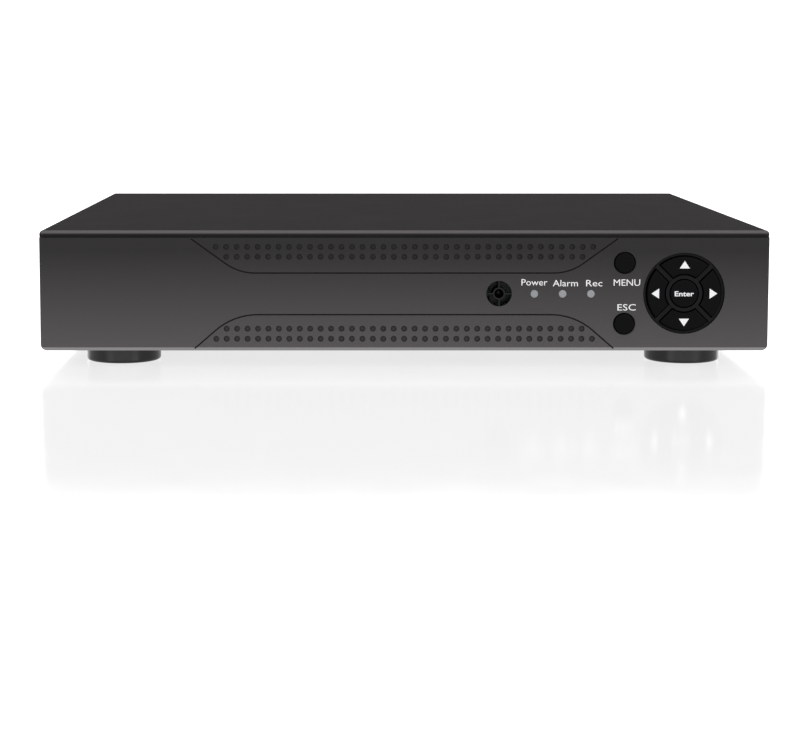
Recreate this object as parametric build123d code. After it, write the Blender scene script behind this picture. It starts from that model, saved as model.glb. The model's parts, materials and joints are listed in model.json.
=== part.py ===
from build123d import *
import math
import os

# Desktop video recorder: folded steel case on four feet, plastic front bezel with seven keys,
# rear panel full of sockets. Millimetres, +Z up, the front faces -Y, +X is to the right seen
# from the front. The origin is under the middle of the whole object, on the resting surface.

# ---------------------------------------------------------------- driving dimensions
CASE_WIDTH = 250.0
CASE_HEIGHT = 41.5
CASE_DEPTH = 215.0
FOOT_HEIGHT = 5.5
KEY_PROUD = 0.8
BNC_REACH = 11.5
SHEET = 0.8
TRAY_SHEET = 1.0
PANEL_SHEET = 1.0
GAP = 0.1

HALF_WIDTH = CASE_WIDTH / 2
FRONT = KEY_PROUD - (KEY_PROUD + CASE_DEPTH + BNC_REACH) / 2
REAR = FRONT + CASE_DEPTH
BASE = FOOT_HEIGHT
TOP = BASE + CASE_HEIGHT
PANEL_FACE = REAR - SHEET
PANEL_BACK = PANEL_FACE - PANEL_SHEET

# front bezel
BEZEL_DEPTH = 12.0
BEZEL_WALL = 1.8
BEZEL_FACE = 2.5
HEM_LENGTH = 5.0
HEM_THICKNESS = 1.5
SHADOW_GROOVE = 1.0
EDGE_ROUND = 1.4
BEZEL_TOP = CASE_HEIGHT - HEM_THICKNESS
DIMPLE_RADIUS = 1.02
DIMPLE_PITCH = 3.585
DIMPLE_DEPTH = 0.9
DIMPLE_ROWS = ((35.9, 37), (32.5, 35), (7.7, 35), (4.2, 37))
GROOVE_WIDTH = 0.5
GROOVE_DEPTH = 1.0
UPPER_GROOVE_START, UPPER_GROOVE_TURN = (73.0, 38.7), (56.7, 26.9)
LOWER_GROOVE_START, LOWER_GROOVE_TURN = (72.0, 0.8), (58.5, 12.55)
UPPER_GROOVE_RADIUS = 17.0
LOWER_GROOVE_RADIUS = 22.0
BOTTOM_BEVEL = 1.2
IR_X, IR_Z = 32.5, 19.8
IR_RADIUS, IR_HOLE_RADIUS, IR_BAR = 4.3, 1.6, 0.5
LED_XS = (44.6, 54.3, 64.0)
LED_Z = 19.7
LED_RADIUS = 1.4

# keys
KEY_TRAVEL = 0.5
KEY_GAP = 0.3
ROUND_KEY_X = 75.5
MENU_Z, ESC_Z = 30.4, 9.4
ROUND_KEY_RADIUS = 3.5
PAD_X, PAD_Z = 95.9, 19.9
PAD_RADIUS = 14.0
ENTER_RADIUS = 4.8
PAD_RING_OUTER = 6.2
SECTOR_INNER, SECTOR_OUTER = 6.6, 12.7
SECTOR_STEM_RADIUS = 9.8
SPOKE_WIDTH = 1.4
STEM_RADIUS = 1.5
KEY_BACK = 3.6
FLANGE_BACK = 4.4
PLUNGER_FACE = 5.0
SWITCH_FACE = 6.5
KEY_BOARD_FACE = 10.0
KEY_BOARD_BACK = 11.6

# rear sockets: x from the middle, height above the bottom of the case
BNC_COLUMNS = (75.3, 57.3, 33.7, 15.7)
BNC_ROWS = (28.8, 14.0)
BNC_COLLAR_RADIUS = 6.4
BNC_BARREL_RADIUS = 4.83
OUT_COLUMN = -2.6
PLUG_ROW, AUDIO_OUT_ROW = 28.2, 14.3
AUDIO_COLUMNS = (-49.8, -63.8)
AUDIO_ROWS = (27.1, 13.3)
PHONO_RADIUS = 4.15
PHONO_BORE = 3.6
PHONO_ROOT_RADIUS = 3.6
PHONO_ROOT_BORE = 3.1
PHONO_REACH = 8.5
AUDIO_SCREW = (-56.8, 20.2)
MONITOR_X, MONITOR_Z = -27.2, 29.9
JACKSCREW_SPACING = 25.0
HD_X, HD_Z = -22.1, 10.8
HD_WIDTH, HD_HEIGHT = 15.0, 6.1
STACK_X = -82.1
STACK_WIDTH = 17.8
STACK_BOTTOM, STACK_TOP = 6.9, 37.5
STACK_DEPTH = 21.0
DATA_PORT_ROWS = (18.7, 10.6)
DATA_PORT_WIDTH, DATA_PORT_HEIGHT = 13.1, 5.2
SERIAL_X, SERIAL_Z = -97.8, 10.4
SERIAL_WIDTH, SERIAL_HEIGHT = 8.8, 7.3
SERIAL_PITCH = 3.81
POWER_X, POWER_Z = -107.3, 12.3
POWER_WIDTH, POWER_HEIGHT = 9.0, 11.0
POWER_BORE_Z = 13.0
EARTH_HOLE = (-111.6, 29.9)
PINHOLE = (117.0, 11.4)

# boards and drive, heights above the bottom of the case
BOARD_THICKNESS = 1.6
BOARD_TOP = 6.6
BOARD_LEFT, BOARD_RIGHT = -114.0, 86.0
BOARD_DEPTH = 88.0
BOARD_REAR = PANEL_BACK - 0.5
BOARD_FRONT = BOARD_REAR - BOARD_DEPTH
DRIVE_SIZE = (147.0, 101.6, 26.1)
DRIVE_LEFT = -115.0
DRIVE_FRONT = FRONT + 18.0
DRIVE_BOTTOM = 3.5
FOOT_RADIUS = 13.0
FOOT_X = 98.5
FRONT_FOOT_Y = FRONT + 20.0
REAR_FOOT_Y = REAR - 25.0

# cover screws and bezel fixings
COVER_SCREW_YS = (FRONT + 45.0, REAR - 40.0)
COVER_SCREW_Z = 8.0
COVER_SCREW_HEAD = 2.7
COVER_SCREW_SHANK = 1.45
FLANGE_WIDTH = 2.6
SIDE_NOTCH_Z = (25.9, 35.6)
SEAM_WIDTH = 0.25
HEM_ROUND = 1.2
BEZEL_SCREWS = [(x, z) for x in (-118.8, 118.8) for z in (7.0, 31.0)]
KEY_BOARD_SCREWS = [(x, z) for x in (26.0, 112.6) for z in (5.6, 34.4)]

# what stands on the boards and the drive
BOARD_BOTTOM = BOARD_TOP - BOARD_THICKNESS
STANDOFFS = (
    (-109.0, BOARD_FRONT + 5.0), (-12.0, BOARD_FRONT + 5.0), (81.0, BOARD_FRONT + 5.0),
    (-109.0, BOARD_REAR - 30.0), (81.0, BOARD_REAR - 30.0),
)
DRIVE_SCREWS = [
    (DRIVE_LEFT + along, DRIVE_FRONT + across)
    for along in (41.0, 117.4)
    for across in (3.2, DRIVE_SIZE[1] - 3.2)
]
CHIP_X, CHIP_Y = -12.0, BOARD_REAR - 52.0
CELL_X, CELL_Y = 60.0, BOARD_REAR - 66.0
DATA_SOCKET_X, POWER_SOCKET_X, RIBBON_X = 56.0, 46.0, 70.0
SOCKET_Y0, SOCKET_Y1 = BOARD_FRONT + 1.0, BOARD_FRONT + 9.0
CABLE_Z = BOARD_TOP + 5.0
DATA_PLUG_Y = DRIVE_FRONT + 30.0
POWER_PLUG_Y = DRIVE_FRONT + 50.0
PLUG_Z = DRIVE_BOTTOM + 4.5

# how far each rear socket reaches along Y
BNC_TIP = REAR + BNC_REACH
BNC_COLLAR_END = PANEL_FACE + 2.6
HOUSING_BACK = PANEL_BACK - 14.0
SOCKET_ROOT = PANEL_BACK - 3.0
PHONO_TIP = PANEL_FACE + PHONO_REACH
PHONO_FLOOR = PANEL_FACE + 0.5
MONITOR_TIP = PANEL_FACE + 4.6
HD_BACK = PANEL_BACK - 9.0
HD_TIP = PANEL_FACE + 0.6
STACK_FACE = PANEL_FACE + 0.7
STACK_BACK = STACK_FACE - STACK_DEPTH
SERIAL_TIP = PANEL_FACE + 1.0
POWER_TIP = PANEL_FACE + 0.8

# network socket in the stack, and the two colours of phono socket
NETWORK_BOTTOM, NETWORK_TOP = 25.4, 33.3
NETWORK_WIDTH = 12.0
LATCH_STEPS = ((6.6, 34.5), (4.4, 35.6))
LAMP_WIDTH, LAMP_HEIGHT = 3.6, 1.9
LAMP_Z = 35.0
LAMP_OFFSET = 6.3
WHITE_PHONO = [(OUT_COLUMN, AUDIO_OUT_ROW)] + [(x, AUDIO_ROWS[0]) for x in AUDIO_COLUMNS]
RED_PHONO = [(x, AUDIO_ROWS[1]) for x in AUDIO_COLUMNS]


# ---------------------------------------------------------------- helpers
def block(x0, x1, y0, y1, z0, z1):
    """A box between two corners, with heights above the bottom of the case."""
    size = (x1 - x0, y1 - y0, z1 - z0)
    return Pos((x0 + x1) / 2, (y0 + y1) / 2, BASE + (z0 + z1) / 2) * Box(*size)


def slab(sketch, y0, y1):
    """A sketch drawn in x and height above the bottom of the case, thick from y0 to y1."""
    plane = Plane(origin=(0, y1, BASE), x_dir=(1, 0, 0), z_dir=(0, -1, 0))
    return extrude(plane * sketch, y1 - y0)


def rod(radius, y0, y1, x, z):
    """A round bar along Y."""
    return slab(Pos(x, z) * Circle(radius), y0, y1)


def post(radius, z0, z1, x, y):
    """A round bar along Z, with heights above the bottom of the case."""
    return Pos(x, y, BASE + (z0 + z1) / 2) * Cylinder(radius, z1 - z0)


def group(pieces):
    """Separate solids kept in one node."""
    return Compound([solid for piece in pieces for solid in piece.solids()])


def mirrored_pair(value):
    """The same place on the left and on the right."""
    return (-value, value)


# ---------------------------------------------------------------- case
def top_cover():
    """U-shaped sheet over the case, with a folded front hem and a return flange at the rear."""
    outer = block(-HALF_WIDTH, HALF_WIDTH, FRONT, REAR, 2.0, CASE_HEIGHT)
    long_edges = outer.edges().filter_by(Axis.Y).group_by(Axis.Z)[-1]
    outer = fillet(long_edges, EDGE_ROUND)
    inner_half = HALF_WIDTH - SHEET
    hollow = block(-inner_half, inner_half, FRONT - 1, PANEL_FACE, 0, CASE_HEIGHT - SHEET)
    window_half = HALF_WIDTH - FLANGE_WIDTH
    rear_window = block(-window_half, window_half, PANEL_FACE - 1, REAR + 1, 0, CASE_HEIGHT - FLANGE_WIDTH)
    side_notch = block(-window_half - 1.0, 0, PANEL_FACE - 1, REAR + 1, *SIDE_NOTCH_Z)
    front_sides = block(-HALF_WIDTH - 1, HALF_WIDTH + 1, FRONT - 1, FRONT + BEZEL_DEPTH + GAP, 0, BEZEL_TOP)
    cover = outer - hollow - rear_window - front_sides
    hem = block(-inner_half, inner_half, FRONT, FRONT + HEM_LENGTH, BEZEL_TOP, CASE_HEIGHT - SHEET)
    cover = cover + hem - side_notch
    for x in mirrored_pair(window_half):
        cover -= mitre_line(x)
    front_edge = cover.edges().filter_by(Axis.X).group_by(Axis.Y)[0].sort_by(Axis.Z)[-1]
    cover = fillet(front_edge, HEM_ROUND)
    for x in mirrored_pair(HALF_WIDTH - SHEET / 2):
        for y in COVER_SCREW_YS:
            side = 1 if x > 0 else -1
            cover -= countersink(side, y)
    return cover


def mitre_line(x):
    """The fine open seam where the top and side flanges meet at 45 degrees."""
    side = 1 if x > 0 else -1
    length = FLANGE_WIDTH * math.sqrt(2)
    centre = (x + side * FLANGE_WIDTH / 2, CASE_HEIGHT - FLANGE_WIDTH / 2)
    seam = Pos(*centre) * Rotation(0, 0, side * 45) * Rectangle(length - 1.0, SEAM_WIDTH)
    return slab(seam, REAR - 0.3, REAR + 1)


def countersink(side, y):
    """A countersunk hole through one side wall of the cover."""
    cone = Cone(COVER_SCREW_HEAD, COVER_SCREW_SHANK + 0.1, SHEET + 0.2)
    turn = Rotation(0, -side * 90, 0)
    return Pos(side * (HALF_WIDTH - SHEET / 2), y, BASE + COVER_SCREW_Z) * turn * cone


def cover_screws():
    """Four black countersunk screws, two in each side wall."""
    screws = []
    for side in (-1, 1):
        for y in COVER_SCREW_YS:
            head = Cone(COVER_SCREW_HEAD - 0.12, COVER_SCREW_SHANK, SHEET)
            shank = Pos(0, 0, SHEET / 2 + 2.0) * Cylinder(COVER_SCREW_SHANK, 4.0)
            slot = cross_recess(1.4, 0.6, 0.45)
            screw = head + shank - Pos(0, 0, -SHEET / 2) * slot
            place = Pos(side * (HALF_WIDTH - SHEET / 2), y, BASE + COVER_SCREW_Z)
            screws.append(place * Rotation(0, -side * 90, 0) * screw)
    return group(screws)


def cross_recess(reach, width, depth):
    """The plus-shaped driver recess, cut into a screw head that faces -Z."""
    return Box(2 * reach, width, 2 * depth) + Box(width, 2 * reach, 2 * depth)


def base_tray():
    """Dark folded sheet: the floor, two side flanges and the front wall with its window."""
    inner_half = HALF_WIDTH - SHEET - GAP
    tray_front = FRONT + BEZEL_DEPTH + GAP
    floor = block(-inner_half, inner_half, tray_front, PANEL_FACE, 0, TRAY_SHEET)
    corner = 3.2
    for x in mirrored_pair(inner_half):
        cut = Pos(x, PANEL_FACE, BASE + TRAY_SHEET / 2) * Rotation(0, 0, 45) * Box(corner, corner, 2)
        floor -= cut
    tray = floor
    for x0 in (-inner_half, inner_half - TRAY_SHEET):
        tray += block(x0, x0 + TRAY_SHEET, tray_front, PANEL_BACK - corner, 0, 12.0)
    wall_back = tray_front + 2.0 + TRAY_SHEET
    tray += block(-inner_half, inner_half, tray_front + 2.0, wall_back, 0, 38.0)
    tray -= block(-105.0, 108.0, tray_front + 1.0, wall_back + 1, 9.0, 36.0)
    for x, y in DRIVE_SCREWS:
        tray += post(5.0, TRAY_SHEET, DRIVE_BOTTOM, x, y)
        tray -= post(3.4, -1, DRIVE_BOTTOM - 1.0, x, y)
        tray -= post(1.7, -1, DRIVE_BOTTOM + 1, x, y)
    for x, y in foot_places():
        tray -= post(1.5, -1, TRAY_SHEET + 1, x, y)
    for x, z in BEZEL_SCREWS:
        tray -= rod(1.6, tray_front, wall_back + 1, x, z)
    for side in (-1, 1):
        for y in COVER_SCREW_YS:
            hole = Rotation(0, 90, 0) * Cylinder(COVER_SCREW_SHANK + 0.05, 4)
            tray -= Pos(side * inner_half, y, BASE + COVER_SCREW_Z) * hole
    for x, y in STANDOFFS:
        tray -= post(1.2, -1, TRAY_SHEET + 1, x, y)
    return tray


def foot_places():
    return [(x, y) for y in (FRONT_FOOT_Y, REAR_FOOT_Y) for x in mirrored_pair(FOOT_X)]


def foot(x, y):
    """A round foot, fillet at the bottom, with a recess for its screw."""
    body = Pos(x, y, FOOT_HEIGHT / 2) * Cylinder(FOOT_RADIUS, FOOT_HEIGHT)
    bottom = body.edges().group_by(Axis.Z)[0]
    body = fillet(bottom, 1.1)
    body -= Pos(x, y, 1.5) * Cylinder(6.0, 3.0)
    body -= Pos(x, y, 0.4) * (Cylinder(10.6, 0.8) - Cylinder(9.4, 0.8))
    return body - Pos(x, y, FOOT_HEIGHT / 2) * Cylinder(1.5, FOOT_HEIGHT)


def foot_screws():
    """Pan-head screws up through the feet into the tray."""
    screws = []
    for x, y in foot_places():
        head = Pos(x, y, 3.0 - 0.9) * Cylinder(2.9, 1.8)
        head = fillet(head.edges().group_by(Axis.Z)[0], 0.7)
        head -= Pos(x, y, 1.2) * cross_recess(1.7, 0.7, 0.8)
        shank = Pos(x, y, (3.0 + BASE + 2.3) / 2) * Cylinder(1.45, BASE + 2.3 - 3.0)
        screws.append(head + shank)
    return group(screws)


def rear_panel():
    """Plated sheet with every socket cut-out, its lower corners cut and its foot folded inward."""
    half = HALF_WIDTH - SHEET - GAP
    corner = 3.2
    top = CASE_HEIGHT - SHEET - GAP
    outline = Polyline(
        (corner - half, TRAY_SHEET), (half - corner, TRAY_SHEET), (half, TRAY_SHEET + corner),
        (half, top), (-half, top), (-half, TRAY_SHEET + corner), close=True
    )
    sheet = slab(make_face(outline), PANEL_BACK, PANEL_FACE)
    for x in BNC_COLUMNS:
        for z in BNC_ROWS:
            sheet -= panel_hole(BNC_COLLAR_RADIUS + GAP, x, z)
    sheet -= panel_hole(BNC_COLLAR_RADIUS + GAP, OUT_COLUMN, AUDIO_OUT_ROW)
    sheet -= panel_hole(6.6, OUT_COLUMN, PLUG_ROW)
    for x in AUDIO_COLUMNS:
        for z in AUDIO_ROWS:
            sheet -= panel_hole(PHONO_RADIUS + 0.4, x, z)
    sheet -= panel_hole(1.6, *AUDIO_SCREW)
    sheet -= slab(Pos(MONITOR_X, MONITOR_Z) * monitor_outline(0.5), PANEL_BACK - 1, PANEL_FACE + 1)
    for side in (-1, 1):
        sheet -= panel_hole(1.7, MONITOR_X + side * JACKSCREW_SPACING / 2, MONITOR_Z)
    sheet -= slab(Pos(HD_X, HD_Z) * hd_outline(0.2), PANEL_BACK - 1, PANEL_FACE + 1)
    stack_middle = (STACK_BOTTOM + STACK_TOP) / 2
    for x, z, width, height in (
        (STACK_X, stack_middle, STACK_WIDTH, STACK_TOP - STACK_BOTTOM),
        (SERIAL_X, SERIAL_Z, SERIAL_WIDTH, SERIAL_HEIGHT),
        (POWER_X, POWER_Z, POWER_WIDTH, POWER_HEIGHT),
    ):
        opening = Pos(x, z) * Rectangle(width + 0.4, height + 0.4)
        sheet -= slab(opening, PANEL_BACK - 1, PANEL_FACE + 1)
    sheet -= panel_hole(0.6, *PINHOLE)
    sheet += rod(2.5, PANEL_BACK - 1.5, PANEL_BACK, *EARTH_HOLE)
    sheet -= rod(1.25, PANEL_BACK - 2, PANEL_FACE + 1, *EARTH_HOLE)
    for x0, x1 in ((-118.0, -95.0), (-12.0, 12.0), (95.0, 118.0)):
        sheet += block(x0, x1, PANEL_BACK - 8.0, PANEL_FACE, TRAY_SHEET, 2 * TRAY_SHEET)
    return sheet


def panel_hole(radius, x, z):
    return rod(radius, PANEL_BACK - 1, PANEL_FACE + 1, x, z)


# ---------------------------------------------------------------- front bezel
def bezel_outline(inset):
    """Front outline: square top corners, rounded lower corners."""
    half = HALF_WIDTH - inset
    face = Pos(0, (BEZEL_TOP + inset) / 2) * Rectangle(2 * half, BEZEL_TOP - inset)
    return fillet(face.vertices().group_by(Axis.Y)[0], max(EDGE_ROUND + 0.8 - inset, 0.5))


def groove_band(start, turn, radius):
    """A trench from the edge of the face through one rounded turn, mirrored to the other side."""
    mirrored = [(-x, z) for x, z in (turn, start)]
    path = FilletPolyline(start, turn, *mirrored, radius=radius)
    return trace(path, line_width=GROOVE_WIDTH)


def ir_grille():
    """Centre hole and four arc slots split by fine spokes."""
    slots = Circle(IR_RADIUS) - Circle(IR_HOLE_RADIUS + IR_BAR)
    for size in ((2 * IR_RADIUS, IR_BAR), (IR_BAR, 2 * IR_RADIUS)):
        slots -= Rectangle(*size)
    return Pos(IR_X, IR_Z) * (slots + Circle(IR_HOLE_RADIUS))


def dimple_grid():
    """Four rows of round dimples."""
    holes = Sketch()
    for z, count in DIMPLE_ROWS:
        holes += Pos(0, z) * GridLocations(DIMPLE_PITCH, 1, count, 1) * Circle(DIMPLE_RADIUS)
    return holes


def front_bezel():
    """Moulded front: face with dimples, grooves, grille and key openings, and a rim behind it."""
    back = FRONT + BEZEL_DEPTH
    shell = slab(bezel_outline(0), FRONT, back)
    under_cover = HALF_WIDTH - SHEET - GAP
    ledge_top = CASE_HEIGHT - SHEET - GAP / 2
    shell += block(-under_cover, under_cover, FRONT + HEM_LENGTH + GAP, back, BEZEL_TOP - 1.0, ledge_top)
    inside = slab(bezel_outline(BEZEL_WALL), FRONT + BEZEL_FACE, back + 1)
    inside &= block(-HALF_WIDTH, HALF_WIDTH, FRONT, back + 1, 0, BEZEL_TOP - BEZEL_WALL)
    shell -= inside
    bottom_edge = shell.edges().filter_by(Axis.X).group_by(Axis.Y)[0].sort_by(Axis.Z)[0]
    shell = fillet(bottom_edge, 0.7)
    bevel = BOTTOM_BEVEL * math.sqrt(2)
    shell -= Pos(0, FRONT, BASE) * Rotation(45, 0, 0) * Box(2 * CASE_WIDTH, bevel, bevel)
    groove_floor = BEZEL_TOP - SHADOW_GROOVE
    shell -= block(-HALF_WIDTH - 1, HALF_WIDTH + 1, FRONT - 1, FRONT + 1.5, groove_floor, CASE_HEIGHT)
    grooves = groove_band(UPPER_GROOVE_START, UPPER_GROOVE_TURN, UPPER_GROOVE_RADIUS)
    grooves += groove_band(LOWER_GROOVE_START, LOWER_GROOVE_TURN, LOWER_GROOVE_RADIUS)
    shell -= slab(grooves, FRONT - 1, FRONT + GROOVE_DEPTH)
    shell -= slab(dimple_grid(), FRONT - 1, FRONT + DIMPLE_DEPTH)
    openings = ir_grille()
    for x in LED_XS:
        openings += Pos(x, LED_Z) * Circle(LED_RADIUS + 0.05)
    for z in (MENU_Z, ESC_Z):
        openings += Pos(ROUND_KEY_X, z) * Circle(ROUND_KEY_RADIUS + KEY_GAP)
    openings += Pos(PAD_X, PAD_Z) * Circle(PAD_RADIUS)
    shell -= slab(openings, FRONT - 1, FRONT + BEZEL_FACE + 1)
    for x, z in BEZEL_SCREWS:
        shell += rod(3.2, FRONT + BEZEL_FACE, back + 2.0, x, z) - rod(1.4, FRONT + 5, back + 3, x, z)
    for x, z in KEY_BOARD_SCREWS:
        boss = rod(2.4, FRONT + BEZEL_FACE, FRONT + KEY_BOARD_FACE, x, z)
        shell += boss - rod(1.1, FRONT + 4, back, x, z)
    return shell


def bezel_screws():
    """Screws from inside the tray's front wall into the bezel's bosses."""
    seat = FRONT + BEZEL_DEPTH + GAP + 2.0 + TRAY_SHEET
    return group([pan_screw(x, z, seat, 1.35, 2.8, -1, 8.0) for x, z in BEZEL_SCREWS])


def pan_screw(x, z, seat, shank_radius, head_radius, direction, length):
    """A pan-head screw along Y whose head sits at seat and whose shank runs in direction."""
    head_height = 0.65 * head_radius
    top = seat - direction * head_height
    head = rod(head_radius, min(seat, top), max(seat, top), x, z)
    end = head.edges().filter_by(GeomType.CIRCLE).sort_by(Axis.Y)[-1 if direction < 0 else 0]
    head = fillet(end, 0.45 * head_height)
    recess = Pos(x, top, BASE + z) * Rotation(90, 0, 0) * cross_recess(
        0.6 * head_radius, 0.22 * head_radius, 0.6 * head_height
    )
    tip = seat + direction * length
    return head - recess + rod(shank_radius, min(seat, tip), max(seat, tip), x, z)


# ---------------------------------------------------------------- keys
def key_stem(x, z):
    """The post behind a key that reaches its switch's plunger."""
    return rod(STEM_RADIUS, FRONT + FLANGE_BACK, FRONT + PLUNGER_FACE, x, z)


def plunger(x, z):
    """The switch's plunger, which travels with its key."""
    return rod(1.75, FRONT + PLUNGER_FACE, FRONT + SWITCH_FACE + 0.8, x, z)


def round_key(z):
    """MENU or ESC: a disc with a soft edge, a retaining flange and its switch plunger."""
    x = ROUND_KEY_X
    cap = rod(ROUND_KEY_RADIUS, FRONT - KEY_PROUD, FRONT + KEY_BACK, x, z)
    cap = fillet(cap.edges().filter_by(GeomType.CIRCLE).sort_by(Axis.Y)[0], 0.5)
    flange = rod(ROUND_KEY_RADIUS + 1.1, FRONT + BEZEL_FACE + GAP, FRONT + FLANGE_BACK, x, z)
    return group([cap + flange + key_stem(x, z), plunger(x, z)])


def enter_button():
    """The middle key of the pad."""
    cap = rod(ENTER_RADIUS, FRONT - KEY_PROUD, FRONT + KEY_BACK, PAD_X, PAD_Z)
    cap = fillet(cap.edges().filter_by(GeomType.CIRCLE).sort_by(Axis.Y)[0], 0.5)
    flange = rod(5.8, FRONT + KEY_BACK, FRONT + FLANGE_BACK, PAD_X, PAD_Z)
    return group([cap + flange + key_stem(PAD_X, PAD_Z), plunger(PAD_X, PAD_Z)])


def sector(inner, outer, gap):
    """One quarter of a ring, pointing up, with a straight gap beside each diagonal."""
    shift = gap * math.sqrt(2)
    corner = 2 * outer
    wedge = make_face(Polyline((0, shift), (corner, shift + corner), (-corner, shift + corner), close=True))
    return (Circle(outer) - Circle(inner)) & wedge


def direction_button(turn):
    """One of the four arrow keys; turn is anticlockwise from up, seen from the front."""
    place = Pos(PAD_X, PAD_Z) * Rotation(0, 0, turn)
    cap_sketch = place * sector(SECTOR_INNER, SECTOR_OUTER, SPOKE_WIDTH / 2 + KEY_GAP)
    cap = slab(cap_sketch, FRONT - KEY_PROUD, FRONT + KEY_BACK)
    front_edges = cap.faces().sort_by(Axis.Y)[0].edges()
    cap = fillet(front_edges, 0.45)
    flange = slab(place * sector(6.3, 13.5, 0.35), FRONT + KEY_BACK, FRONT + FLANGE_BACK)
    angle = math.radians(90 + turn)
    x = PAD_X + SECTOR_STEM_RADIUS * math.cos(angle)
    z = PAD_Z + SECTOR_STEM_RADIUS * math.sin(angle)
    return group([cap + flange + key_stem(x, z), plunger(x, z)])


def nav_key_frame():
    """The pad's fixed frame: outer rim, four spokes and the ring round the middle key."""
    frame_back = FRONT + KEY_BACK - GAP
    rim = Circle(PAD_RADIUS - 0.1) - Circle(13.05)
    piece = slab(rim, FRONT + 0.9, frame_back)
    spokes = Sketch() + [Rotation(0, 0, a) * Rectangle(27.0, SPOKE_WIDTH) for a in (45, 135)]
    spokes = (spokes & Circle(13.4)) - Circle(PAD_RING_OUTER - 0.3)
    piece += slab(spokes, FRONT + 0.2, frame_back)
    piece += slab(Circle(PAD_RING_OUTER) - Circle(ENTER_RADIUS + KEY_GAP), FRONT - 0.4, frame_back)
    piece += slab(Circle(15.6) - Circle(13.05), FRONT + BEZEL_FACE + 0.02, frame_back)
    return Pos(PAD_X, 0, PAD_Z) * piece


# ---------------------------------------------------------------- key board
def switch_places():
    """The seven switches: two round keys, then the pad's five."""
    places = [(ROUND_KEY_X, MENU_Z), (ROUND_KEY_X, ESC_Z), (PAD_X, PAD_Z)]
    for step in range(4):
        angle = math.radians(90 * step)
        x = PAD_X + SECTOR_STEM_RADIUS * math.cos(angle)
        places.append((x, PAD_Z + SECTOR_STEM_RADIUS * math.sin(angle)))
    return places


def key_board():
    """Circuit board behind the bezel, carrying switches, lamps and receiver."""
    board = block(22.0, 117.4, FRONT + KEY_BOARD_FACE, FRONT + KEY_BOARD_BACK, 2.9, 37.1)
    board -= block(115.0, 118.0, FRONT + 9, FRONT + 13, 2.0, 12.0)
    board -= block(115.0, 118.0, FRONT + 9, FRONT + 13, 26.5, 38.0)
    for x, z in KEY_BOARD_SCREWS:
        board -= rod(1.2, FRONT + 9, FRONT + 13, x, z)
    return board


def tact_switches():
    """Square switch bodies, each hollow where its plunger slides."""
    bodies = []
    for x, z in switch_places():
        half = 2.95
        body = block(x - half, x + half, FRONT + SWITCH_FACE, FRONT + KEY_BOARD_FACE, z - half, z + half)
        bodies.append(body - rod(2.05, FRONT + SWITCH_FACE - 1, FRONT + SWITCH_FACE + 1.6, x, z))
    return group(bodies)


def ir_receiver():
    """Three-legged receiver with a domed face, behind the round grille."""
    body = block(IR_X - 3.0, IR_X + 3.0, FRONT + 5.0, FRONT + KEY_BOARD_FACE, IR_Z - 3.4, IR_Z + 3.4)
    dome = Pos(IR_X, FRONT + 5.0, BASE + IR_Z) * Sphere(2.2)
    return body + dome


def indicator_leds():
    """Three round lamps: lens through the bezel, collar, and body down to the key board."""
    lamps = []
    for x in LED_XS:
        lens = rod(LED_RADIUS, FRONT - 0.25, FRONT + BEZEL_FACE + GAP, x, LED_Z)
        lens = fillet(lens.edges().filter_by(GeomType.CIRCLE).sort_by(Axis.Y)[0], 0.45)
        collar = rod(1.9, FRONT + BEZEL_FACE + GAP, FRONT + 4.0, x, LED_Z)
        legs = [rod(0.3, FRONT + 4.0, FRONT + KEY_BOARD_FACE, x, LED_Z + dz) for dz in (-1.27, 1.27)]
        lamps.append(lens + collar + legs)
    return group(lamps)


def key_board_screw_set():
    """Screws that hold the key board to the bezel."""
    return [pan_screw(x, z, FRONT + KEY_BOARD_BACK, 1.05, 2.1, -1, 5.0) for x, z in KEY_BOARD_SCREWS]


# ---------------------------------------------------------------- main board
def main_board():
    """Main circuit board on five standoffs."""
    board = block(BOARD_LEFT, BOARD_RIGHT, BOARD_FRONT, BOARD_REAR, BOARD_BOTTOM, BOARD_TOP)
    for x, y in STANDOFFS:
        board -= post(1.6, BOARD_BOTTOM - 1, BOARD_TOP + 1, x, y)
    return board


def standoffs():
    """Hexagonal pillars between the tray and the main board."""
    pillars = []
    for x, y in STANDOFFS:
        plane = Plane(origin=(x, y, BASE + TRAY_SHEET))
        pillar = extrude(plane * RegularPolygon(2.75, 6, major_radius=False), BOARD_BOTTOM - TRAY_SHEET)
        pillar += post(1.15, 0, TRAY_SHEET, x, y)
        pillars.append(pillar - post(1.3, TRAY_SHEET + 1.0, BOARD_BOTTOM + 1, x, y))
    return group(pillars)


def board_screws():
    """Pan-head screws for the main board, and the smaller ones of the key board."""
    screws = []
    for x, y in STANDOFFS:
        head = post(2.8, BOARD_TOP, BOARD_TOP + 1.8, x, y)
        head = fillet(head.edges().group_by(Axis.Z)[-1], 0.8)
        head -= Pos(x, y, BASE + BOARD_TOP + 1.8) * cross_recess(1.6, 0.6, 0.9)
        screws.append(head + post(1.25, BOARD_BOTTOM - 2.0, BOARD_TOP, x, y))
    return group(screws + key_board_screw_set())


def processor():
    """Main processor under the heat sink: substrate and moulded body."""
    substrate, body = chip_block(11.5, 0, 1.0), chip_block(9.5, 1.0, 2.0)
    return substrate + body


def chip_block(half, low, high):
    """A square layer centred on the processor, with heights above the main board."""
    bottom, top = BOARD_TOP + low, BOARD_TOP + high
    return block(CHIP_X - half, CHIP_X + half, CHIP_Y - half, CHIP_Y + half, bottom, top)


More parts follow.
